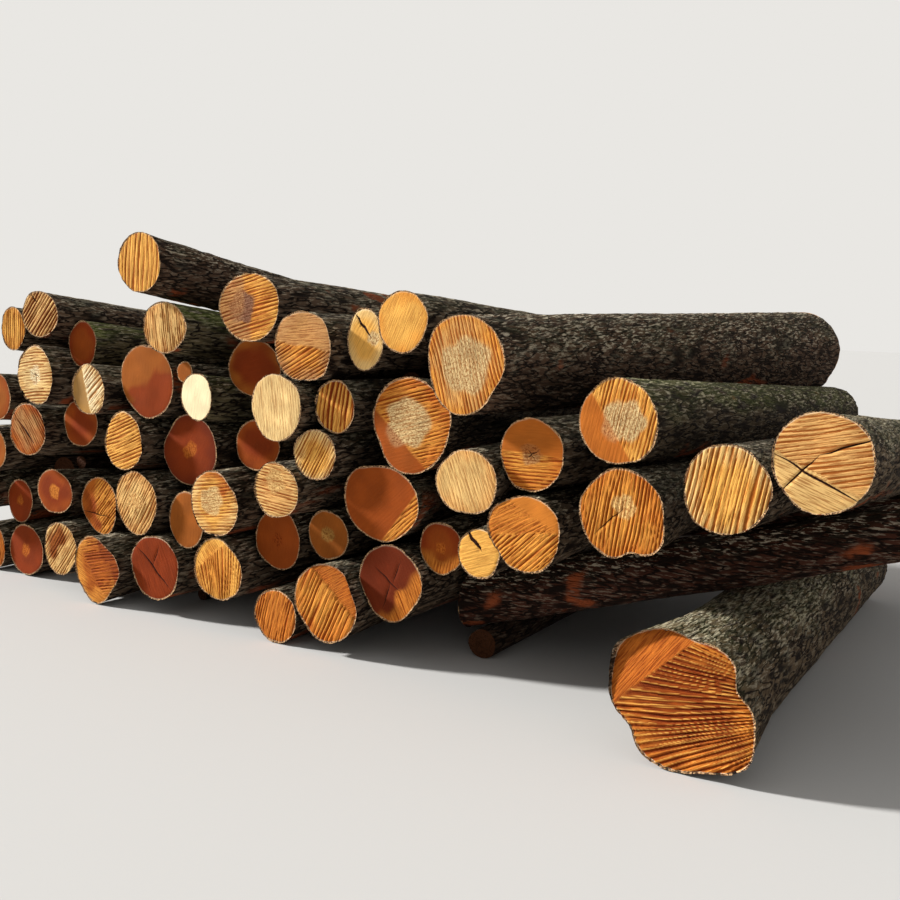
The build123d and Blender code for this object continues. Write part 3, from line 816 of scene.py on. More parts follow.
@dataclass(frozen=True)
class BarkRelief:
    """Height of alder bark around and along a log: plates, interlaced furrows and flakes."""

    girth: float    # distance around the log, in millimetres
    seed: int       # makes this log differ from the others
    deep: float     # depth of the furrows, in millimetres

    PLATE = (24.0, 125.0)                   # furrow spacing around and along, in millimetres
    SWELL = (95.0, 330.0)                   # the same for the broad swells of the log
    BEND, WANDER = 140.0, 2.2  # how fast the furrows wander in millimetres, and how far in furrows
    SCALE = 46.0                            # length of the scales on the plates, in millimetres
    BEND_START, PLATE_START, SCALE_START = 7, 3, 5  # cells along, at the log's front end
    FEWEST_FURROWS, FEWEST_SWELLS = 8, 4    # around a slender log
    RIDGE_SHARE, SCALE_SHARE = 0.62, 0.38   # of the bark's height, from ridges and from scales
    RIDGE_ROUND = 0.8                       # the less, the rounder the ridges
    ROOM, SWELL_DEPTH = 0.4, 4.5            # least depth below the CAD surface, and of the swells

    def height(self, angles: np.ndarray, along: float) -> Arrays:
        """Reads the relief.

        Args:
            angles: Angles around the log, in radians.
            along: Distance from the front end, in millimetres.

        Returns:
            Depth below the CAD surface in millimetres, and height from 0 in a furrow to 1.
        """
        furrows = max(self.FEWEST_FURROWS, round(self.girth / self.PLATE[0]))
        swells = max(self.FEWEST_SWELLS, round(self.girth / self.SWELL[0]))
        bend = girdle(angles, swells, along / self.BEND + self.BEND_START, self.seed + Layer.FURROW_BEND)
        lane = angles / TURN * furrows + self.WANDER * (bend - 0.5)
        cells = speckle(lane, along / self.PLATE[1] + self.PLATE_START, self.seed + Layer.PLATES, furrows)
        scales = speckle(lane * 2, along / self.SCALE + self.SCALE_START, self.seed + Layer.SCALES,
                         furrows * 2)
        ridge = 1 - np.abs(2 * cells - 1)
        level = np.clip(self.RIDGE_SHARE * ridge**self.RIDGE_ROUND + self.SCALE_SHARE * scales, 0, 1)
        swell = girdle(angles, swells, along / self.SWELL[1], self.seed + Layer.SWELLS)
        depth = self.ROOM + self.deep * (1 - level) + self.SWELL_DEPTH * (1 - swell)
        return depth, level


@dataclass(frozen=True)
class SawnEnd:
    """Sawn wood of one end: the points of its ring first, then those inside it."""

    points: np.ndarray
    values: dict[str, np.ndarray]
    triangles: list[tuple[int, ...]]
    angles: np.ndarray      # of the ring's points


@dataclass
class MeshParts:
    """Points, faces and painted values of a log, gathered before its mesh is made."""

    points: list[np.ndarray] = field(default_factory=list)
    faces: list[tuple[int, ...]] = field(default_factory=list)
    kinds: list[int] = field(default_factory=list)
    values: dict[str, list[np.ndarray]] = field(default_factory=dict)
    count: int = 0

    # Values that the materials read at each point, and how many numbers each has
    WIDTHS = {"paint": 4, "saw": 3, "heart": 3, "crack_gap": 3, "crack_wide": 3, "grain": 3, "bark": 3,
              "rough": 3}

    def add(self, points: np.ndarray, **values: np.ndarray) -> list[int]:
        """Adds points with their values.

        Args:
            points: Places in millimetres, as right, along and up.
            **values: Rows of painted values; those left out are 0.

        Returns:
            Numbers of the points added.
        """
        first = self.count
        self.points.append(points)
        for name, width in self.WIDTHS.items():
            given = values.get(name)
            self.values.setdefault(name, []).append(
                np.zeros((len(points), width)) if given is None else given)
        self.count += len(points)
        return list(range(first, self.count))

    def cover(self, faces: list[tuple[int, ...]], kind: int) -> None:
        """Adds faces of one material slot."""
        self.faces.extend(faces)
        self.kinds.extend([kind] * len(faces))

    def add_end(self, end: SawnEnd, kind: int) -> list[int]:
        """Adds a sawn end.

        Args:
            end: The end.
            kind: Its material slot.

        Returns:
            Numbers of the points in its ring.
        """
        numbers = self.add(end.points, **end.values)
        self.cover([tuple(numbers[0] + corner for corner in triangle) for triangle in end.triangles], kind)
        return numbers[:len(end.angles)]

    def join(self, near: list[int], far: list[int], kind: int) -> None:
        """Joins two rings.

        Args:
            near: Numbers of one ring's points.
            far: Numbers of the other's, as many or half as many.
            kind: Material slot of the faces between them.
        """
        count = len(far)
        faces: list[tuple[int, ...]] = []
        for place in range(count):
            after = (place + 1) % count
            if len(near) == count:
                faces.append((near[place], near[after], far[after], far[place]))
                continue
            first, mid, last = near[2 * place], near[2 * place + 1], near[(2 * place + 2) % len(near)]
            faces += [(first, mid, far[place]), (mid, far[after], far[place]), (mid, last, far[after])]
        self.cover(faces, kind)


@dataclass
class Log:
    """One log: its sawn ends, the bark's torn edge and the bark, read from its CAD solid."""

    name: str
    cut: Cut
    detail: Detail
    seed: int
    across: bool = False            # lies across the stack
    row: float = 4.2                # spacing of points across the saw lines, in millimetres
    spacing: float = 13.0           # and along them
    rear_coarser: float = 1.6       # how much wider they lie along them on the rear end
    rear_frayed: float = 0.3
    bark_thick: float = 9.0
    chip: float = 6.0               # how far the bark's sawn edge is chipped back
    rim_stations: tuple[float, ...] = (9.0, 18.0, 30.0, 46.0, 68.0)  # close rings behind that edge
    near_length: float = 1100.0     # from the front, with rings near each other
    stout: float = 140.0            # radius above which a log has deep furrows
    furrows: Pair = (7.0, 10.0)     # their depth on slender and on stout logs
    sharp: float = 62.0             # angle between faces that shows as an edge, in degrees

    WOOD, INNER, BARK = 0, 1, 2             # material slots
    STRAY, FLAT = 0.4, 1.0  # most that a CAD section's corners lie apart along the log, in steps and in all
    FEWEST_CORNERS = 30                     # corners that a CAD section has at least
    SAW_SHIFT, BARK_SHIFT = 37.0, 53.0      # moves each log's fine patterns away from the last one's
    FRAY_CELL, FRAY_SHIFT = 7.0, 40         # tufts of the torn rim in millimetres, their seams off the end
    FRAY_DEPTH, FRAY_FROM = 5.0, 0.9        # how deep they are torn, and from which share of the radius
    FRINGE_LOW, FRINGE_LESS = 1.25, 0.9     # how short torn fibres are at the side, and less at the top, where the paler rim is painted light
    WORN_SAW = 0.8                          # how much of its fine grain smooth wood loses
    THICK_CELLS, THICK_ROW = 24, 1.5        # where the bark's thickness is read
    THINNEST, THICKENED = 0.55, 0.7         # its least share, and what the uneven part adds
    CHIP_CELLS, CHIP_ROW = 40, 2.5          # where the chips of the bark's edge are read
    EDGE_RELIEF = 0.5                       # how much of the bark's relief its sawn edge shows
    PATCH, CRUST = (7, 190.0), (18, 70.0)   # patches and crusts: number around, millimetres along
    PATCH_START = 2                         # cells along, at the log's front end
    MOSS_SPREAD, MOSSY = 0.8, (0.1, 0.9)    # how patches shift the moss, from side to top
    PEEL_MIX, PEELED = (0.65, 0.35, 0.12), (0.98, 1.06)  # patches, crusts and the underside
    CRUST_MIX, CRUSTED = (0.5, 0.5, 0.3), (0.5, 0.9)  # crusts, patches and the upper side
    TOP_LIGHT = (-0.1, 0.9)                  # painted light on the bark's upper side, rising from below the side to the top

    def outlines(self) -> list[Outline]:
        """Reads the sections of the CAD solid.

        Returns:
            The sections, front end first.
        """
        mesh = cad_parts[self.name].data
        places = np.empty(len(mesh.vertices) * 3)
        mesh.vertices.foreach_get("co", places)
        x, y, z = places.reshape(-1, 3).T / MM
        right, along, up = (-y, x, z) if self.across else (x, y, z)
        found = []
        order = np.argsort(along)
        right, along, up = right[order], along[order], up[order]
        breaks = np.flatnonzero(np.diff(along) > self.STRAY) + 1
        for group in np.split(np.arange(len(along)), breaks):
            corners = np.unique(np.round(np.stack([right[group], up[group]], axis=1), 1), axis=0)
            if len(corners) >= self.FEWEST_CORNERS and np.ptp(along[group]) < self.FLAT:
                found.append(Outline.around(float(along[group].mean()), corners))
        return found

    def stations(self, length: float) -> np.ndarray:
        """Finds where along the log its bark has a ring of points.

        Args:
            length: The log's length, in millimetres.

        Returns:
            Distances from the front end.
        """
        start = self.rim_stations[-1]
        split = min(self.near_length, length / 2)
        close = np.linspace(start, split, max(2, round((split - start) / self.detail.near) + 1))
        rest = np.linspace(split, length, max(2, round((length - split) / self.detail.far) + 1))
        return np.concatenate([self.rim_stations[:-1], close, rest[1:]])

    def ring_at(self, sections: list[Outline], along: float, angles: np.ndarray) -> Arrays:
        """Reads the log's outline between two sections.

        Args:
            sections: The log's sections, front end first.
            along: Distance from the front end.
            angles: Angles around the log.

        Returns:
            The outline's middle, and its radius at each angle.
        """
        start = sections[0].along
        for near, far in zip(sections, sections[1:]):
            if along <= far.along - start or far is sections[-1]:
                share = (along + start - near.along) / (far.along - near.along)
                middle = near.middle + (far.middle - near.middle) * share
                return middle, near.radius(angles) * (1 - share) + far.radius(angles) * share
        raise ValueError(self.name)

    def sawn_end(self, section: Outline, disc: ChordDisc, rear: bool) -> SawnEnd:
        """Makes the sawn wood of one end.

        Args:
            section: Outline of the end.
            disc: Layout of its rows.
            rear: Whether it is the rear end, which is plainer and has fewer points.

        Returns:
            The end.
        """
        every, inward = (2, -1.0) if rear else (1, 1.0)     # rows used, and where the log lies
        inner, triangles, ring_count = disc.fill(self.spacing * (self.rear_coarser if rear else 1), every)
        stretch = section.stretch()
        ring = disc.ring[::every]
        rays = np.stack([np.cos(ring), np.sin(ring)], axis=1) @ stretch.T
        angles = np.arctan2(rays[:, 1], rays[:, 0])
        reach = section.radius(angles) - self.bark_thickness(angles)
        turns = np.arctan2(inner[:, 1], inner[:, 0])
        rho = np.hypot(*inner.T)
        ratio = np.interp(turns % TURN, *Outline.ordered(ring, reach / np.hypot(*rays.T)), period=TURN)
        spots = np.concatenate([
            np.stack([np.cos(angles), np.sin(angles)], axis=1) * reach[:, None],
            inner @ stretch.T * (1 + (ratio - 1) * rho**3)[:, None],
        ])
        rho = np.concatenate([np.ones(ring_count), rho])
        if rear:
            cut = Cut(self.cut.tint, self.cut.rim, lines=self.cut.lines, depth=self.cut.depth,
                      frayed=self.rear_frayed)
            face = SawnFace(cut, float(section.radii.mean()), self.seed + Layer.REAR_END, spots)
        else:
            face = SawnFace(self.cut, disc.size, self.seed, spots)
        depth, saw = face.relief()
        fray = speckle(*(spots.T / self.FRAY_CELL + self.FRAY_SHIFT), self.seed + Layer.FRAY)
        depth = depth + self.cut.frayed * self.FRAY_DEPTH * fray * ease(rho, self.FRAY_FROM, 1.0)
        gaps, widths = face.cracks
        upper = np.clip(spots[:, 1] / disc.size, 0, 1)
        # Torn fibres reach further in at the top, so the pale rim there is wider: painted light on the top
        # of the rim
        fringe = (1 - rho) * disc.size * (self.FRINGE_LOW - self.FRINGE_LESS * upper)
        pith = np.hypot(*(spots - np.array(self.cut.pith) * disc.size).T)
        points = np.stack([
            section.middle[0] + spots[:, 0], section.along + inward * depth, section.middle[1] + spots[:, 1],
        ], axis=1)
        saw[:, :2] += self.seed * self.SAW_SHIFT
        values = {
            "paint": face.paint(rho, saw[:, 2]), "saw": saw, "crack_gap": gaps, "crack_wide": widths,
            "heart": np.stack([pith, fringe, np.zeros(len(spots))], axis=1),
            "rough": np.stack([np.full(len(spots), self.cut.frayed), face.heart_share,
                               1 - self.WORN_SAW * face.planed], axis=1),
        }
        return SawnEnd(points, values, triangles, angles)

    def bark_thickness(self, angles: np.ndarray) -> np.ndarray:
        """Thickness of the bark ring on a sawn end, in millimetres."""
        uneven = girdle(angles, self.THICK_CELLS, self.THICK_ROW, self.seed + Layer.BARK_THICKNESS)
        return self.bark_thick * (self.THINNEST + self.THICKENED * uneven)

    def bark_values(self, angles: np.ndarray, along: float, level: np.ndarray, places: np.ndarray
                    ) -> dict[str, np.ndarray]:
        """Paints a ring of bark with its colour, moss, peeled patches, lichen and painted light on its upper
        side.

        Args:
            angles: Angles around the log.
            along: Distance from the front end.
            level: Height of the bark from 0 to 1.
            places: Points of the ring, in millimetres.

        Returns:
            Painted values for the ring.
        """
        _, moss, peel, lichen = self.cut.coat.value
        patch, crust = (
            girdle(angles, around, along / length + self.PATCH_START, self.seed + layer)
            for (around, length), layer in ((self.PATCH, Layer.PATCHES), (self.CRUST, Layer.CRUSTS)))
        upward = np.sin(angles)
        mossy = moss * ease(upward + self.MOSS_SPREAD * (patch - 0.5), *self.MOSSY)
        patched, crusty, under = self.PEEL_MIX
        loose = patched * patch + crusty * crust + under * (1 - upward)
        peeled = ease(loose, self.PEELED[0] - peel, self.PEELED[1] - peel)
        crusty, patched, upper = self.CRUST_MIX
        crusted = lichen * ease(crusty * crust + patched * patch + upper * upward, *self.CRUSTED)
        grain = places.copy()
        grain[:, 1] = along
        return {
            "paint": np.tile(self.cut.coat.rgb(), (len(angles), 1)),
            "grain": grain + self.seed * self.BARK_SHIFT,
            "bark": np.stack([level, mossy, peeled], axis=1),
            "heart": np.stack([np.zeros(len(angles)), crusted, ease(upward, *self.TOP_LIGHT)], axis=1),
        }

    def bark_ring(self, sections: list[Outline], relief: BarkRelief, angles: np.ndarray, along: float
                  ) -> tuple[np.ndarray, dict[str, np.ndarray]]:
        """Makes a ring of bark points.

        Args:
            sections: The log's sections, front end first.
            relief: Height of its bark.
            angles: Angles of the ring's points.
            along: Distance from the front end, 0 for the sawn edge.

        Returns:
            The points in millimetres and their painted values.
        """
        at_edge = along == 0.0
        middle, radii = self.ring_at(sections, along, angles)
        depth, level = relief.height(angles, along)
        radii = radii - depth * (self.EDGE_RELIEF if at_edge else 1.0)
        chips = girdle(angles, self.CHIP_CELLS, self.CHIP_ROW, self.seed + Layer.CHIPS)
        chipped = self.chip * chips if at_edge else 0.0
        places = np.stack([
            middle[0] + radii * np.cos(angles), np.full(len(angles), sections[0].along + along) + chipped,
            middle[1] + radii * np.sin(angles)], axis=1)
        return places, self.bark_values(angles, along, level, places)

    def build(self, dresses: list[bpy.types.Material]) -> bpy.types.Object:
        """Makes the log's mesh and puts it in place of its CAD node.

        Args:
            dresses: Materials for wood, inner bark and bark.

        Returns:
            The log's object.
        """
        sections = self.outlines()
        front, rear = sections[0], sections[-1]
        size = float(front.radii.mean())
        row_ray = np.linalg.solve(front.stretch(), directions(self.cut.lines)[0])
        disc = ChordDisc(size, self.row, math.atan2(row_ray[1], row_ray[0]))
        relief = BarkRelief(TURN * size, self.seed, self.furrows[size > self.stout])

        parts = MeshParts()
        end = self.sawn_end(front, disc, rear=False)
        ring, kind = parts.add_end(end, self.WOOD), self.INNER
        for along in (0.0, *self.stations(rear.along - front.along)):
            every = self.detail.every if along >= self.rim_stations[-1] else 1
            points, values = self.bark_ring(sections, relief, end.angles[::every], float(along))
            further = parts.add(points, **values)
            parts.join(ring, further, kind)
            ring, kind = further, self.BARK

        rear_ring = parts.add_end(self.sawn_end(rear, disc, rear=True), self.WOOD)
        parts.join(ring, rear_ring, self.INNER)
        return self.finished(parts, dresses)

    def finished(self, parts: MeshParts, dresses: list[bpy.types.Material]) -> bpy.types.Object:
        """Turns the gathered parts into an object that rides on the frame.

        Args:
            parts: Points, faces and painted values.
            dresses: Materials for wood, inner bark and bark.

        Returns:
            The log's object.
        """
        right, along, up = np.concatenate(parts.points).T * MM
        places = np.stack([along, -right, up] if self.across else [right, along, up], axis=1)
        mesh = bpy.data.meshes.new(f"{self.name}_wood")
        mesh.from_pydata(places.tolist(), [], parts.faces)
        if mesh.polygons[0].normal[0 if self.across else 1] > 0:
            mesh.flip_normals()
        mesh.polygons.foreach_set("material_index", parts.kinds)
        mesh.polygons.foreach_set("use_smooth", [True] * len(mesh.polygons))
        for name, width in MeshParts.WIDTHS.items():
            kind, key = ("FLOAT_COLOR", "color") if width == 4 else ("FLOAT_VECTOR", "vector")
            layer = mesh.attributes.new(name, kind, "POINT")
            layer.data.foreach_set(key, np.concatenate(parts.values[name]).astype(np.float32).ravel())
        for dress in dresses:
            mesh.materials.append(dress)
        mesh.set_sharp_from_angle(angle=math.radians(self.sharp))
        mesh.validate()
        piece = bpy.data.objects.new(f"{self.name}_sawn", mesh)
        bpy.context.scene.collection.objects.link(piece)
        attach(piece, "root")
        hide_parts(self.name)
        return piece


# Materials

CHOICES = {"Math": "operation", "VectorMath": "operation", "MixRGB": "blend_type",
           "MapRange": "interpolation_type", "Attribute": "attribute_name"}


def add_node(tree: bpy.types.NodeTree, kind: str, choice: str = "", *values: object, **named: object
             ) -> bpy.types.Node:
    """Adds a shader node with its settings and links.

    Args:
        tree: Node tree that gets the node.
        kind: Blender's name for the kind of node, without its first word.
        choice: The setting that CHOICES names for that kind, or nothing.
        values: What goes into the inputs, in their order: a node or socket to link, a value, or None.
        named: The same for inputs by name, with _ for a space.

    Returns:
        The node.
    """
    node = tree.nodes.new("ShaderNode" + kind)
    if choice:
        setattr(node, CHOICES[kind], choice)
    inputs = {**dict(enumerate(values)), **{name.replace("_", " "): value for name, value in named.items()}}
    for key, value in inputs.items():
        source = value.outputs[0] if isinstance(value, bpy.types.Node) else value
        if isinstance(source, bpy.types.NodeSocket):
            tree.links.new(source, node.inputs[key])
        elif source is not None:
            node.inputs[key].default_value = source
    return node


class Finish:
    """A material in the making: one shader under a painted and patterned colour."""

    def __init__(self, name: str) -> None:
        """Starts an empty material.

        Args:
            name: Name of the material.
        """
        self.material = bpy.data.materials.new(name)
        self.material.use_nodes = True
        self.tree = self.material.node_tree
        self.tree.nodes.clear()

    def add(self, kind: str, choice: str = "", *values: object, **named: object) -> bpy.types.Node:
        """Adds a node to this material."""
        return add_node(self.tree, kind, choice, *values, **named)

    def painted(self, name: str) -> bpy.types.bpy_prop_collection:
        """Three painted values of the mesh, each as a socket."""
        return self.add("SeparateXYZ", "", self.add("Attribute", name).outputs["Vector"]).outputs

    def pattern(self, place: object, cells: Triple, detail: float = 3.0, rough: float = 0.6
                ) -> bpy.types.Node:
        """Makes an uneven natural pattern.

        Args:
            place: Coordinates in millimetres.
            cells: Size of the pattern's cells along each coordinate, in millimetres.
            detail: How many times finer cells are laid over them.
            rough: How strong the finer cells are.

        Returns:
            A value around a half.
        """
        scaled = self.add("VectorMath", "MULTIPLY", place, tuple(1 / cell for cell in cells))
        return self.add("TexNoise", "", scaled, Scale=1.0, Detail=detail, Roughness=rough)

    def lay(self, under: object, over: object, pattern: object, spans: Triple,
            where: object = None) -> bpy.types.Node:
        """Lays a colour over another where a pattern is high.

        Args:
            under: Colour below.
            over: Colour laid over it.
            pattern: Value that decides where.
            spans: The pattern's value where the upper colour starts to show, the value where it is
                full, and how much it then covers.
            where: Share that the cover is multiplied by, if any.

        Returns:
            The colour of both.
        """
        start, full, most = spans
        cover = self.add("MapRange", "SMOOTHSTEP", pattern, start, full, 0.0, most)
        if where is not None:
            cover = self.add("Math", "MULTIPLY", where, cover)
        return self.add("MixRGB", "MIX", cover, under, over)

    def close(self, colour: object, bump: object, rise: float, rough: float, gloss: float
              ) -> bpy.types.Material:
        """Ends the material in one shader.

        Args:
            colour: Surface colour.
            bump: Height of the fine relief, from 0 to 1.
            rise: Height of that relief in metres.
            rough: Roughness.
            gloss: Specular level.

        Returns:
            The finished material.
        """
        normal = self.add("Bump", Strength=1.0, Distance=rise, Height=bump)
        shader = self.add("BsdfPrincipled", Base_Color=colour, Roughness=rough, Specular_IOR_Level=gloss,
                          Normal=normal)
        self.add("OutputMaterial", "", shader)
        return self.material


@dataclass(frozen=True)
class SawnAlder:
    """Alder end grain cut by chain saw: furred lines that catch the light, reddened by the air.

    To the eye it is matt and warm, with pale torn fibres on the ridges and painted shade that darkens and
    reddens the lines.
    Each span gives a pattern's value where it starts to show and where it is full, and its cover.
    """

    groove: str = "#a97a52"  # darkens and reddens the deep part of the saw lines as painted shade; the growth rings take it too
    crack: str = "#2c140c"
    torn: str = "#fff0cf"                   # torn fibres are dry and pale, and their wider band at the top of the rim is painted light
    line: Pair = (90.0, 5.0)                # coarse lines, along and across, in millimetres
    fibre: Pair = (22.0, 1.6)               # finer ones, drawn as coarse as they need to show
    patch: Pair = (40.0, 26.0)              # drier patches
    pit: Pair = (11.0, 7.0)                 # pits in the rough heart
    ring: float = 5.5                       # growth ring width, in millimetres
    ring_wander: float = 9.0                # how far the rings stray, in millimetres
    glow: Colour = (1.55, 1.5, 1.38, 1.0)   # how much paler dry crumbs are
    uneven: float = 0.9                     # how much the fibres break up the lines' shade
    shade: Pair = (0.30, 0.62)
    streaks: Triple = (0.46, 0.60, 0.7)
    crumbs: Triple = (0.55, 0.70, 0.6)
    dried: Triple = (0.56, 0.75, 0.30)
    rings: Triple = (0.4, 1.0, 0.14)
    pits: Triple = (0.50, 0.55, 0.75)
    fringe: Pair = (3.0, 8.0)               # the torn rim, in millimetres
    fringe_wander: float = 9.0
    fringe_cover: float = 0.8
    lips: Pair = (-1.2, 0.8)                # how sharply a crack opens, in millimetres
    lips_wander: float = 2.0
    line_share: float = 0.6                 # of the bump, the rest is fibres
    rise: float = 0.0045
    rough: float = 0.78
    gloss: float = 0.06                     # raw end grain scatters nearly all the light

    def make(self) -> bpy.types.Material:
        """Builds the material.

        Returns:
            The material.
        """
        finish = Finish("sawn_alder_end_grain")
        add, lay = finish.add, finish.lay
        paint, saw = add("Attribute", "paint"), add("Attribute", "saw").outputs["Vector"]
        depth = add("SeparateXYZ", "", saw).outputs[2]
        pith, edge, _ = finish.painted("heart")
        frayed, heart, furred = finish.painted("rough")
        lines = finish.pattern(saw, (*self.line, math.inf), 2.0)
        fibres = finish.pattern(saw, (*self.fibre, math.inf))
        patches = finish.pattern(saw, (*self.patch, math.inf), 4.0)
        uneven = add("Math", "MULTIPLY", add("Math", "SUBTRACT", fibres, 0.5), self.uneven)
        groove = add("MapRange", "SMOOTHSTEP", add("Math", "ADD", depth, uneven), *self.shade)
        streak = add("MapRange", "SMOOTHSTEP", lines, *self.streaks[:2], 0.0, self.streaks[2])
        # Painted shade: the deep part of the saw lines takes a darker, redder colour; the coarse streaks use
        # it too, as the wood's own uneven tone.
        shaded = add("Math", "MULTIPLY", furred, add("Math", "MAXIMUM", groove, streak))
        darker = add("MixRGB", "MULTIPLY", 1.0, paint, linear(self.groove))
        colour = add("MixRGB", "MIX", shaded, paint, darker)
        lighter = add("MixRGB", "MULTIPLY", 1.0, colour, self.glow)
        colour = lay(colour, lighter, fibres, self.crumbs, furred)
        colour = lay(colour, lighter, patches, self.dried)
        wavy = add("Math", "ADD", pith, add("Math", "MULTIPLY", patches, self.ring_wander))
        rings = add("Math", "SINE", add("Math", "MULTIPLY", wavy, TURN / self.ring))
        colour = lay(colour, linear(self.groove), rings, self.rings)
        colour = lay(colour, darker, finish.pattern(saw, (*self.pit, math.inf), 3.0, 0.7), self.pits, heart)
        ragged = add("Math", "ADD", edge, add("Math", "MULTIPLY", fibres, self.fringe_wander))
        fringe = add("MapRange", "SMOOTHSTEP", ragged, *self.fringe, self.fringe_cover, 0.0)
        colour = add("MixRGB", "MIX", add("Math", "MULTIPLY", fringe, frayed), colour, linear(self.torn))
        opened: object = 0.0
        for gap, width in zip(finish.painted("crack_gap"), finish.painted("crack_wide")):
            strayed = add("Math", "ADD", gap, add("Math", "MULTIPLY", fibres, self.lips_wander))
            inside = add("Math", "SUBTRACT", width, add("Math", "ABSOLUTE", strayed))
            opened = add("Math", "MAXIMUM", opened, add("MapRange", "SMOOTHSTEP", inside, *self.lips))
        colour = add("MixRGB", "MIX", opened, colour, linear(self.crack))
        height = add("Math", "ADD", add("Math", "MULTIPLY", lines, self.line_share),
                     add("Math", "MULTIPLY", fibres, 1 - self.line_share))
        height = add("Math", "MULTIPLY", height, furred)
        return finish.close(colour, height, self.rise, self.rough, self.gloss)


@dataclass(frozen=True)
class AlderBark:
    """Weathered alder bark: dark furrows, deepened by painted shade, between grey ridges, with lichen, moss
    and bare patches.

    To the eye it is dark and dull, with pale tips on the ridges, which painted light makes palest on the
    upper side.
    Each span gives a pattern's value where it starts to show and where it is full, and its cover.
    """

    # nearly black: the furrows' own dark colour deepened by painted shade
    furrow: str = "#160d08"
    moss: str = "#56612a"
    moss_tip: str = "#8e9650"
    lichen: str = "#b4ab92"
    bare: str = "#8c4526"           # inner bark where the outer bark came off, orange in fresh light
    tip: str = "#d8cab0"            # weathered tips of the ridges, which dry to a pale grey; on the upper side they are paler still as painted light
    sawn: str = "#4a2b19"           # ends of the hidden inner logs, dark brown as painted shade
    plate: Pair = (24.0, 130.0)     # bark scales around and along, in millimetres
    lace: Pair = (26.0, 130.0)      # net of fine furrows
    flake: Pair = (10.0, 62.0)      # loose flakes
    cut: Pair = (0.03, 0.09)        # width of the net's furrows
    cut_wander: float = 0.05
    relief_share: float = 0.75      # how much the mesh's height counts
    plate_share: float = 0.7        # and the scales
    ridge: Pair = (0.50, 0.92)
    flaked: Pair = (0.52, 0.60)
    high: Pair = (0.2, 0.8)
    unlit_side_tips: float = 0.2            # pale tips on the sides, where the painted top light is weak
    tip_share: float = 0.75
    moss_tips: Triple = (0.45, 0.65, 1.0)
    crust: Triple = (0.44, 0.56, 0.85)
    peeled: Triple = (0.34, 0.50, 1.0)
    mossy: Triple = (0.36, 0.52, 1.0)
    end_facing: Triple = (0.8, 0.9, 1.0)
    ridge_share: float = 0.6        # of the bump, the rest is flakes
    rise: float = 0.014
    rough: float = 0.9
    gloss: float = 0.1

    def make(self, name: str, whole: bool = True) -> bpy.types.Material:
        """Builds the material.

        Args:
            name: Name of the material.
            whole: True for meshes with painted bark values, False for a plain CAD solid.

        Returns:
            The material.
        """
        finish = Finish(name)
        add, lay = finish.add, finish.lay
        paint: object = Coat.BROWN.rgb().tolist()
        level, moss, peel, lichen, top_light = 0.5, 0.0, 0.0, 0.0, 0.0
        place = add("VectorMath", "MULTIPLY", add("TexCoord").outputs["Object"], (1 / MM,) * 3)
        if whole:
            place, paint = add("Attribute", "grain").outputs["Vector"], add("Attribute", "paint")
            level, moss, peel = finish.painted("bark")
            _, lichen, top_light = finish.painted("heart")
        plates, lace, flakes = (
            finish.pattern(place, (wide, long, wide), detail, rough) for (wide, long), detail, rough in (
                (self.plate, 3.0, 0.55), (self.lace, 2.0, 0.5), (self.flake, 3.0, 0.65)))
        apart = add("Math", "ABSOLUTE", add("Math", "SUBTRACT", lace, 0.5))
        apart = add("Math", "ADD", apart, add("Math", "MULTIPLY", flakes, self.cut_wander))
        high = add("Math", "ADD", add("Math", "MULTIPLY", level, self.relief_share),
                   add("Math", "MULTIPLY", plates, self.plate_share))
        raised = add("Math", "MULTIPLY", add("MapRange", "SMOOTHSTEP", high, *self.ridge),
                     add("MapRange", "SMOOTHSTEP", apart, *self.cut))
        colour = add("MixRGB", "MIX", raised, linear(self.furrow), paint)
        # Painted light: the pale ridge tips are faint on the sides and full on the upper side.
        worn_and_lit = add("Math", "MULTIPLY", add("MapRange", "SMOOTHSTEP", flakes, *self.flaked),
                   add("MapRange", "SMOOTHSTEP", raised, *self.high))
        worn_and_lit = add("Math", "MULTIPLY", worn_and_lit, add(
            "MapRange", "SMOOTHSTEP", top_light, 0.0, 1.0, self.unlit_side_tips, 1.0))
        tips = add("MixRGB", "MIX", self.tip_share, paint, linear(self.tip))
        colour = add("MixRGB", "MIX", worn_and_lit, colour, tips)
        green = lay(linear(self.moss), linear(self.moss_tip), flakes, self.moss_tips)
        colour = lay(colour, linear(self.lichen), flakes, self.crust, lichen)
        colour = lay(colour, linear(self.bare), plates, self.peeled, peel)
        colour = lay(colour, green, plates, self.mossy, moss)
        # Painted shade: the hidden inner logs' ends are dark brown.
        if not whole:
            facing = add("SeparateXYZ", "", add("TexCoord").outputs["Normal"]).outputs[1]
            colour = lay(colour, linear(self.sawn), add("Math", "ABSOLUTE", facing), self.end_facing)
        height = add("Math", "ADD", add("Math", "MULTIPLY", raised, self.ridge_share),
                     add("Math", "MULTIPLY", flakes, 1 - self.ridge_share))
        return finish.close(colour, height, self.rise, self.rough, self.gloss)


@dataclass(frozen=True)
class InnerBark:
    """Inner alder bark cut by chain saw: a fibrous brown edge with a pale line of torn fibres."""

    dark: str = "#3a2218"
    light: str = "#cfa678"
    fibre: float = 6.0          # tufts of fibres, in millimetres
    pale: Triple = (0.4, 0.62, 1.0)
    rise: float = 0.004
    rough: float = 0.85
    gloss: float = 0.1

    def make(self) -> bpy.types.Material:
        """Builds the material.

        Returns:
            The material.
        """
        finish = Finish("sawn_alder_inner_bark")
        place = finish.add("VectorMath", "MULTIPLY", finish.add("TexCoord").outputs["Object"], (1 / MM,) * 3)
        fibres = finish.pattern(place, (self.fibre,) * 3)
        colour = finish.lay(linear(self.dark), linear(self.light), fibres, self.pale)
        return finish.close(colour, fibres, self.rise, self.rough, self.gloss)


# Stage

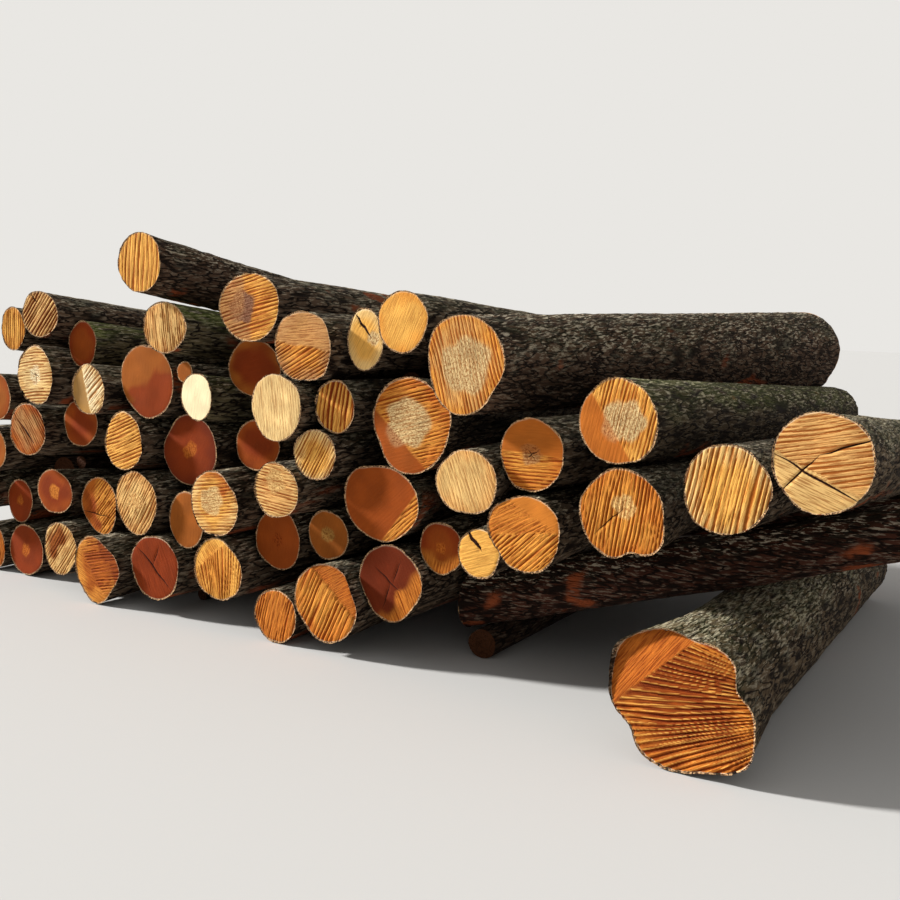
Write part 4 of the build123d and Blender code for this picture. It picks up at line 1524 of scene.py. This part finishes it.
@dataclass(frozen=True)
class Studio:
    """Plain matt floor, a low key light from the upper left, pale surroundings and the camera."""

    floor_size: float = 120.0       # in metres
    floor_colour: str = "#c6c4c0"   # matt paint, so that only the stack's shadow shows on it
    floor_rough: float = 0.9
    floor_gloss: float = 0.1
    sky_colour: str = "#e9e7e3"
    key_heading: Triple = (0.82, 0.27, -0.44)
    key_power: float = 6.3
    key_spread: float = 0.10        # how wide the key looks, in radians
    fill: float = 0.46              # light from all round, against 1 for white
    lens: float = 44.0
    sensor: float = 36.0
    eye_from_right: float = 0.044   # camera from the stack's right end, in metres
    eye_before: float = 3.508       # camera before the bearer's front end
    eye_height: float = 1.56
    turned: float = 32.0            # heading to the left of straight ahead, in degrees
    picture: float = 900.0          # width of the picture, in pixels
    horizon: float = 138.0          # how far the horizon lies above its middle, in pixels
    roll: float = 1.6
    clip_end: float = 400.0

    def make_camera(self) -> None:
        """Puts the camera where the photograph was taken from."""
        low, high = CAD_BOX
        heading, roll = math.radians(self.turned), math.radians(self.roll)
        pitch = math.atan(self.horizon / (self.picture * self.lens / self.sensor))
        right = Vector((math.cos(heading), math.sin(heading), 0))
        ahead = Vector((-math.sin(heading), math.cos(heading), 0)) * math.cos(pitch)
        ahead.z = -math.sin(pitch)
        up = right.cross(ahead)
        tilted_right = right * math.cos(roll) + up * math.sin(roll)
        tilted_up = up * math.cos(roll) - right * math.sin(roll)
        camera = bpy.data.cameras.new("view")
        camera.lens, camera.sensor_width = self.lens, self.sensor
        camera.clip_end = self.clip_end
        holder = bpy.data.objects.new("view", camera)
        matrix = Matrix((tilted_right, tilted_up, -ahead)).transposed().to_4x4()
        matrix.translation = Vector((high.x + self.eye_from_right, low.y - self.eye_before, self.eye_height))
        holder.matrix_world = matrix
        bpy.context.scene.collection.objects.link(holder)
        bpy.context.scene.camera = holder

    def make_light(self) -> None:
        """Adds the key light and the pale surroundings that fill the shadows."""
        key = bpy.data.lights.new("key", "SUN")
        key.energy, key.angle = self.key_power, self.key_spread
        holder = bpy.data.objects.new("key", key)
        holder.rotation_mode = "QUATERNION"
        holder.rotation_quaternion = Vector(self.key_heading).to_track_quat("-Z", "Y")
        bpy.context.scene.collection.objects.link(holder)
        world = bpy.data.worlds.new("surroundings")
        world.use_nodes = True
        tree = world.node_tree
        tree.nodes.clear()
        rays = add_node(tree, "LightPath").outputs
        seen = add_node(tree, "Math", "MAXIMUM", rays["Is Camera Ray"], rays["Is Glossy Ray"])
        seen = add_node(tree, "Math", "MAXIMUM", seen, rays["Is Transmission Ray"])
        backdrop = add_node(tree, "Background", "", linear(self.sky_colour), 1.0)
        fill = add_node(tree, "Background", "", linear("#ffffff"), self.fill)
        add_node(tree, "OutputWorld", "", add_node(tree, "MixShader", "", seen, fill, backdrop))
        bpy.context.scene.world = world

    def make_floor(self) -> None:
        """Adds the floor that the stack stands on."""
        half = self.floor_size / 2
        mesh = bpy.data.meshes.new("floor")
        corners = [(-half, -half, 0), (half, -half, 0), (half, half, 0), (-half, half, 0)]
        mesh.from_pydata(corners, [], [(0, 1, 2, 3)])
        finish = Finish("painted_studio_floor")
        finish.add("OutputMaterial", "", finish.add(
            "BsdfPrincipled", Base_Color=linear(self.floor_colour), Roughness=self.floor_rough,
            Specular_IOR_Level=self.floor_gloss))
        mesh.materials.append(finish.material)
        floor = bpy.data.objects.new("floor", mesh)
        bpy.context.scene.collection.objects.link(floor)


@dataclass(frozen=True)
class LogStack:
    """The whole stack: every log's mesh and the dressed inner logs."""

    first_seed: int = 1000
    seed_step: int = 40
    bearer_row: float = 3.6         # the bearer's end is large and near, so its points lie closer
    bearer_spacing: float = 6.5

    SLOTS = {"bearer_log": "bearer_log", "cross_log_front": "cross_log", "cross_log_rear": "cross_log"}

    def detail_of(self, name: str) -> Detail:
        """How finely that log's bark is modelled."""
        shown = (detail for detail, names in DETAILS.items() if name in names)
        return next(shown, Detail.PACKED)

    def build(self) -> None:
        """Builds each log in order and reports it."""
        dresses = [SawnAlder().make(), InnerBark().make(), AlderBark().make("weathered_alder_bark")]
        total = 0
        for number, (name, cut) in enumerate(CUTS.items()):
            log = Log(name, cut, self.detail_of(name), self.first_seed + self.seed_step * number,
                      across=name.startswith("cross"))
            if name == "bearer_log":
                log.row, log.spacing = self.bearer_row, self.bearer_spacing
            piece = log.build(dresses)
            self.SLOTS.get(name, "alder_log")
            triangles = sum(len(face.vertices) - 2 for face in piece.data.polygons)
            total += triangles
            LOGGER.info("%s: %s bark, %d triangles", name, log.detail.name.lower(), triangles)
        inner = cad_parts["inner_logs"]
        inner.data.materials.clear()
        inner.data.materials.append(AlderBark().make("plain_alder_bark", whole=False))
        LOGGER.info("inner_logs: dressed; %d triangles in all", total)


def main() -> None:
    """Builds the studio and the stack."""
    logging.basicConfig(level=logging.INFO, format="%(name)s %(message)s")
    bpy.context.scene.view_settings.view_transform = "Standard"
    studio = Studio()
    studio.make_camera()
    studio.make_light()
    studio.make_floor()
    LogStack().build()


if __name__ == "__main__":
    main()
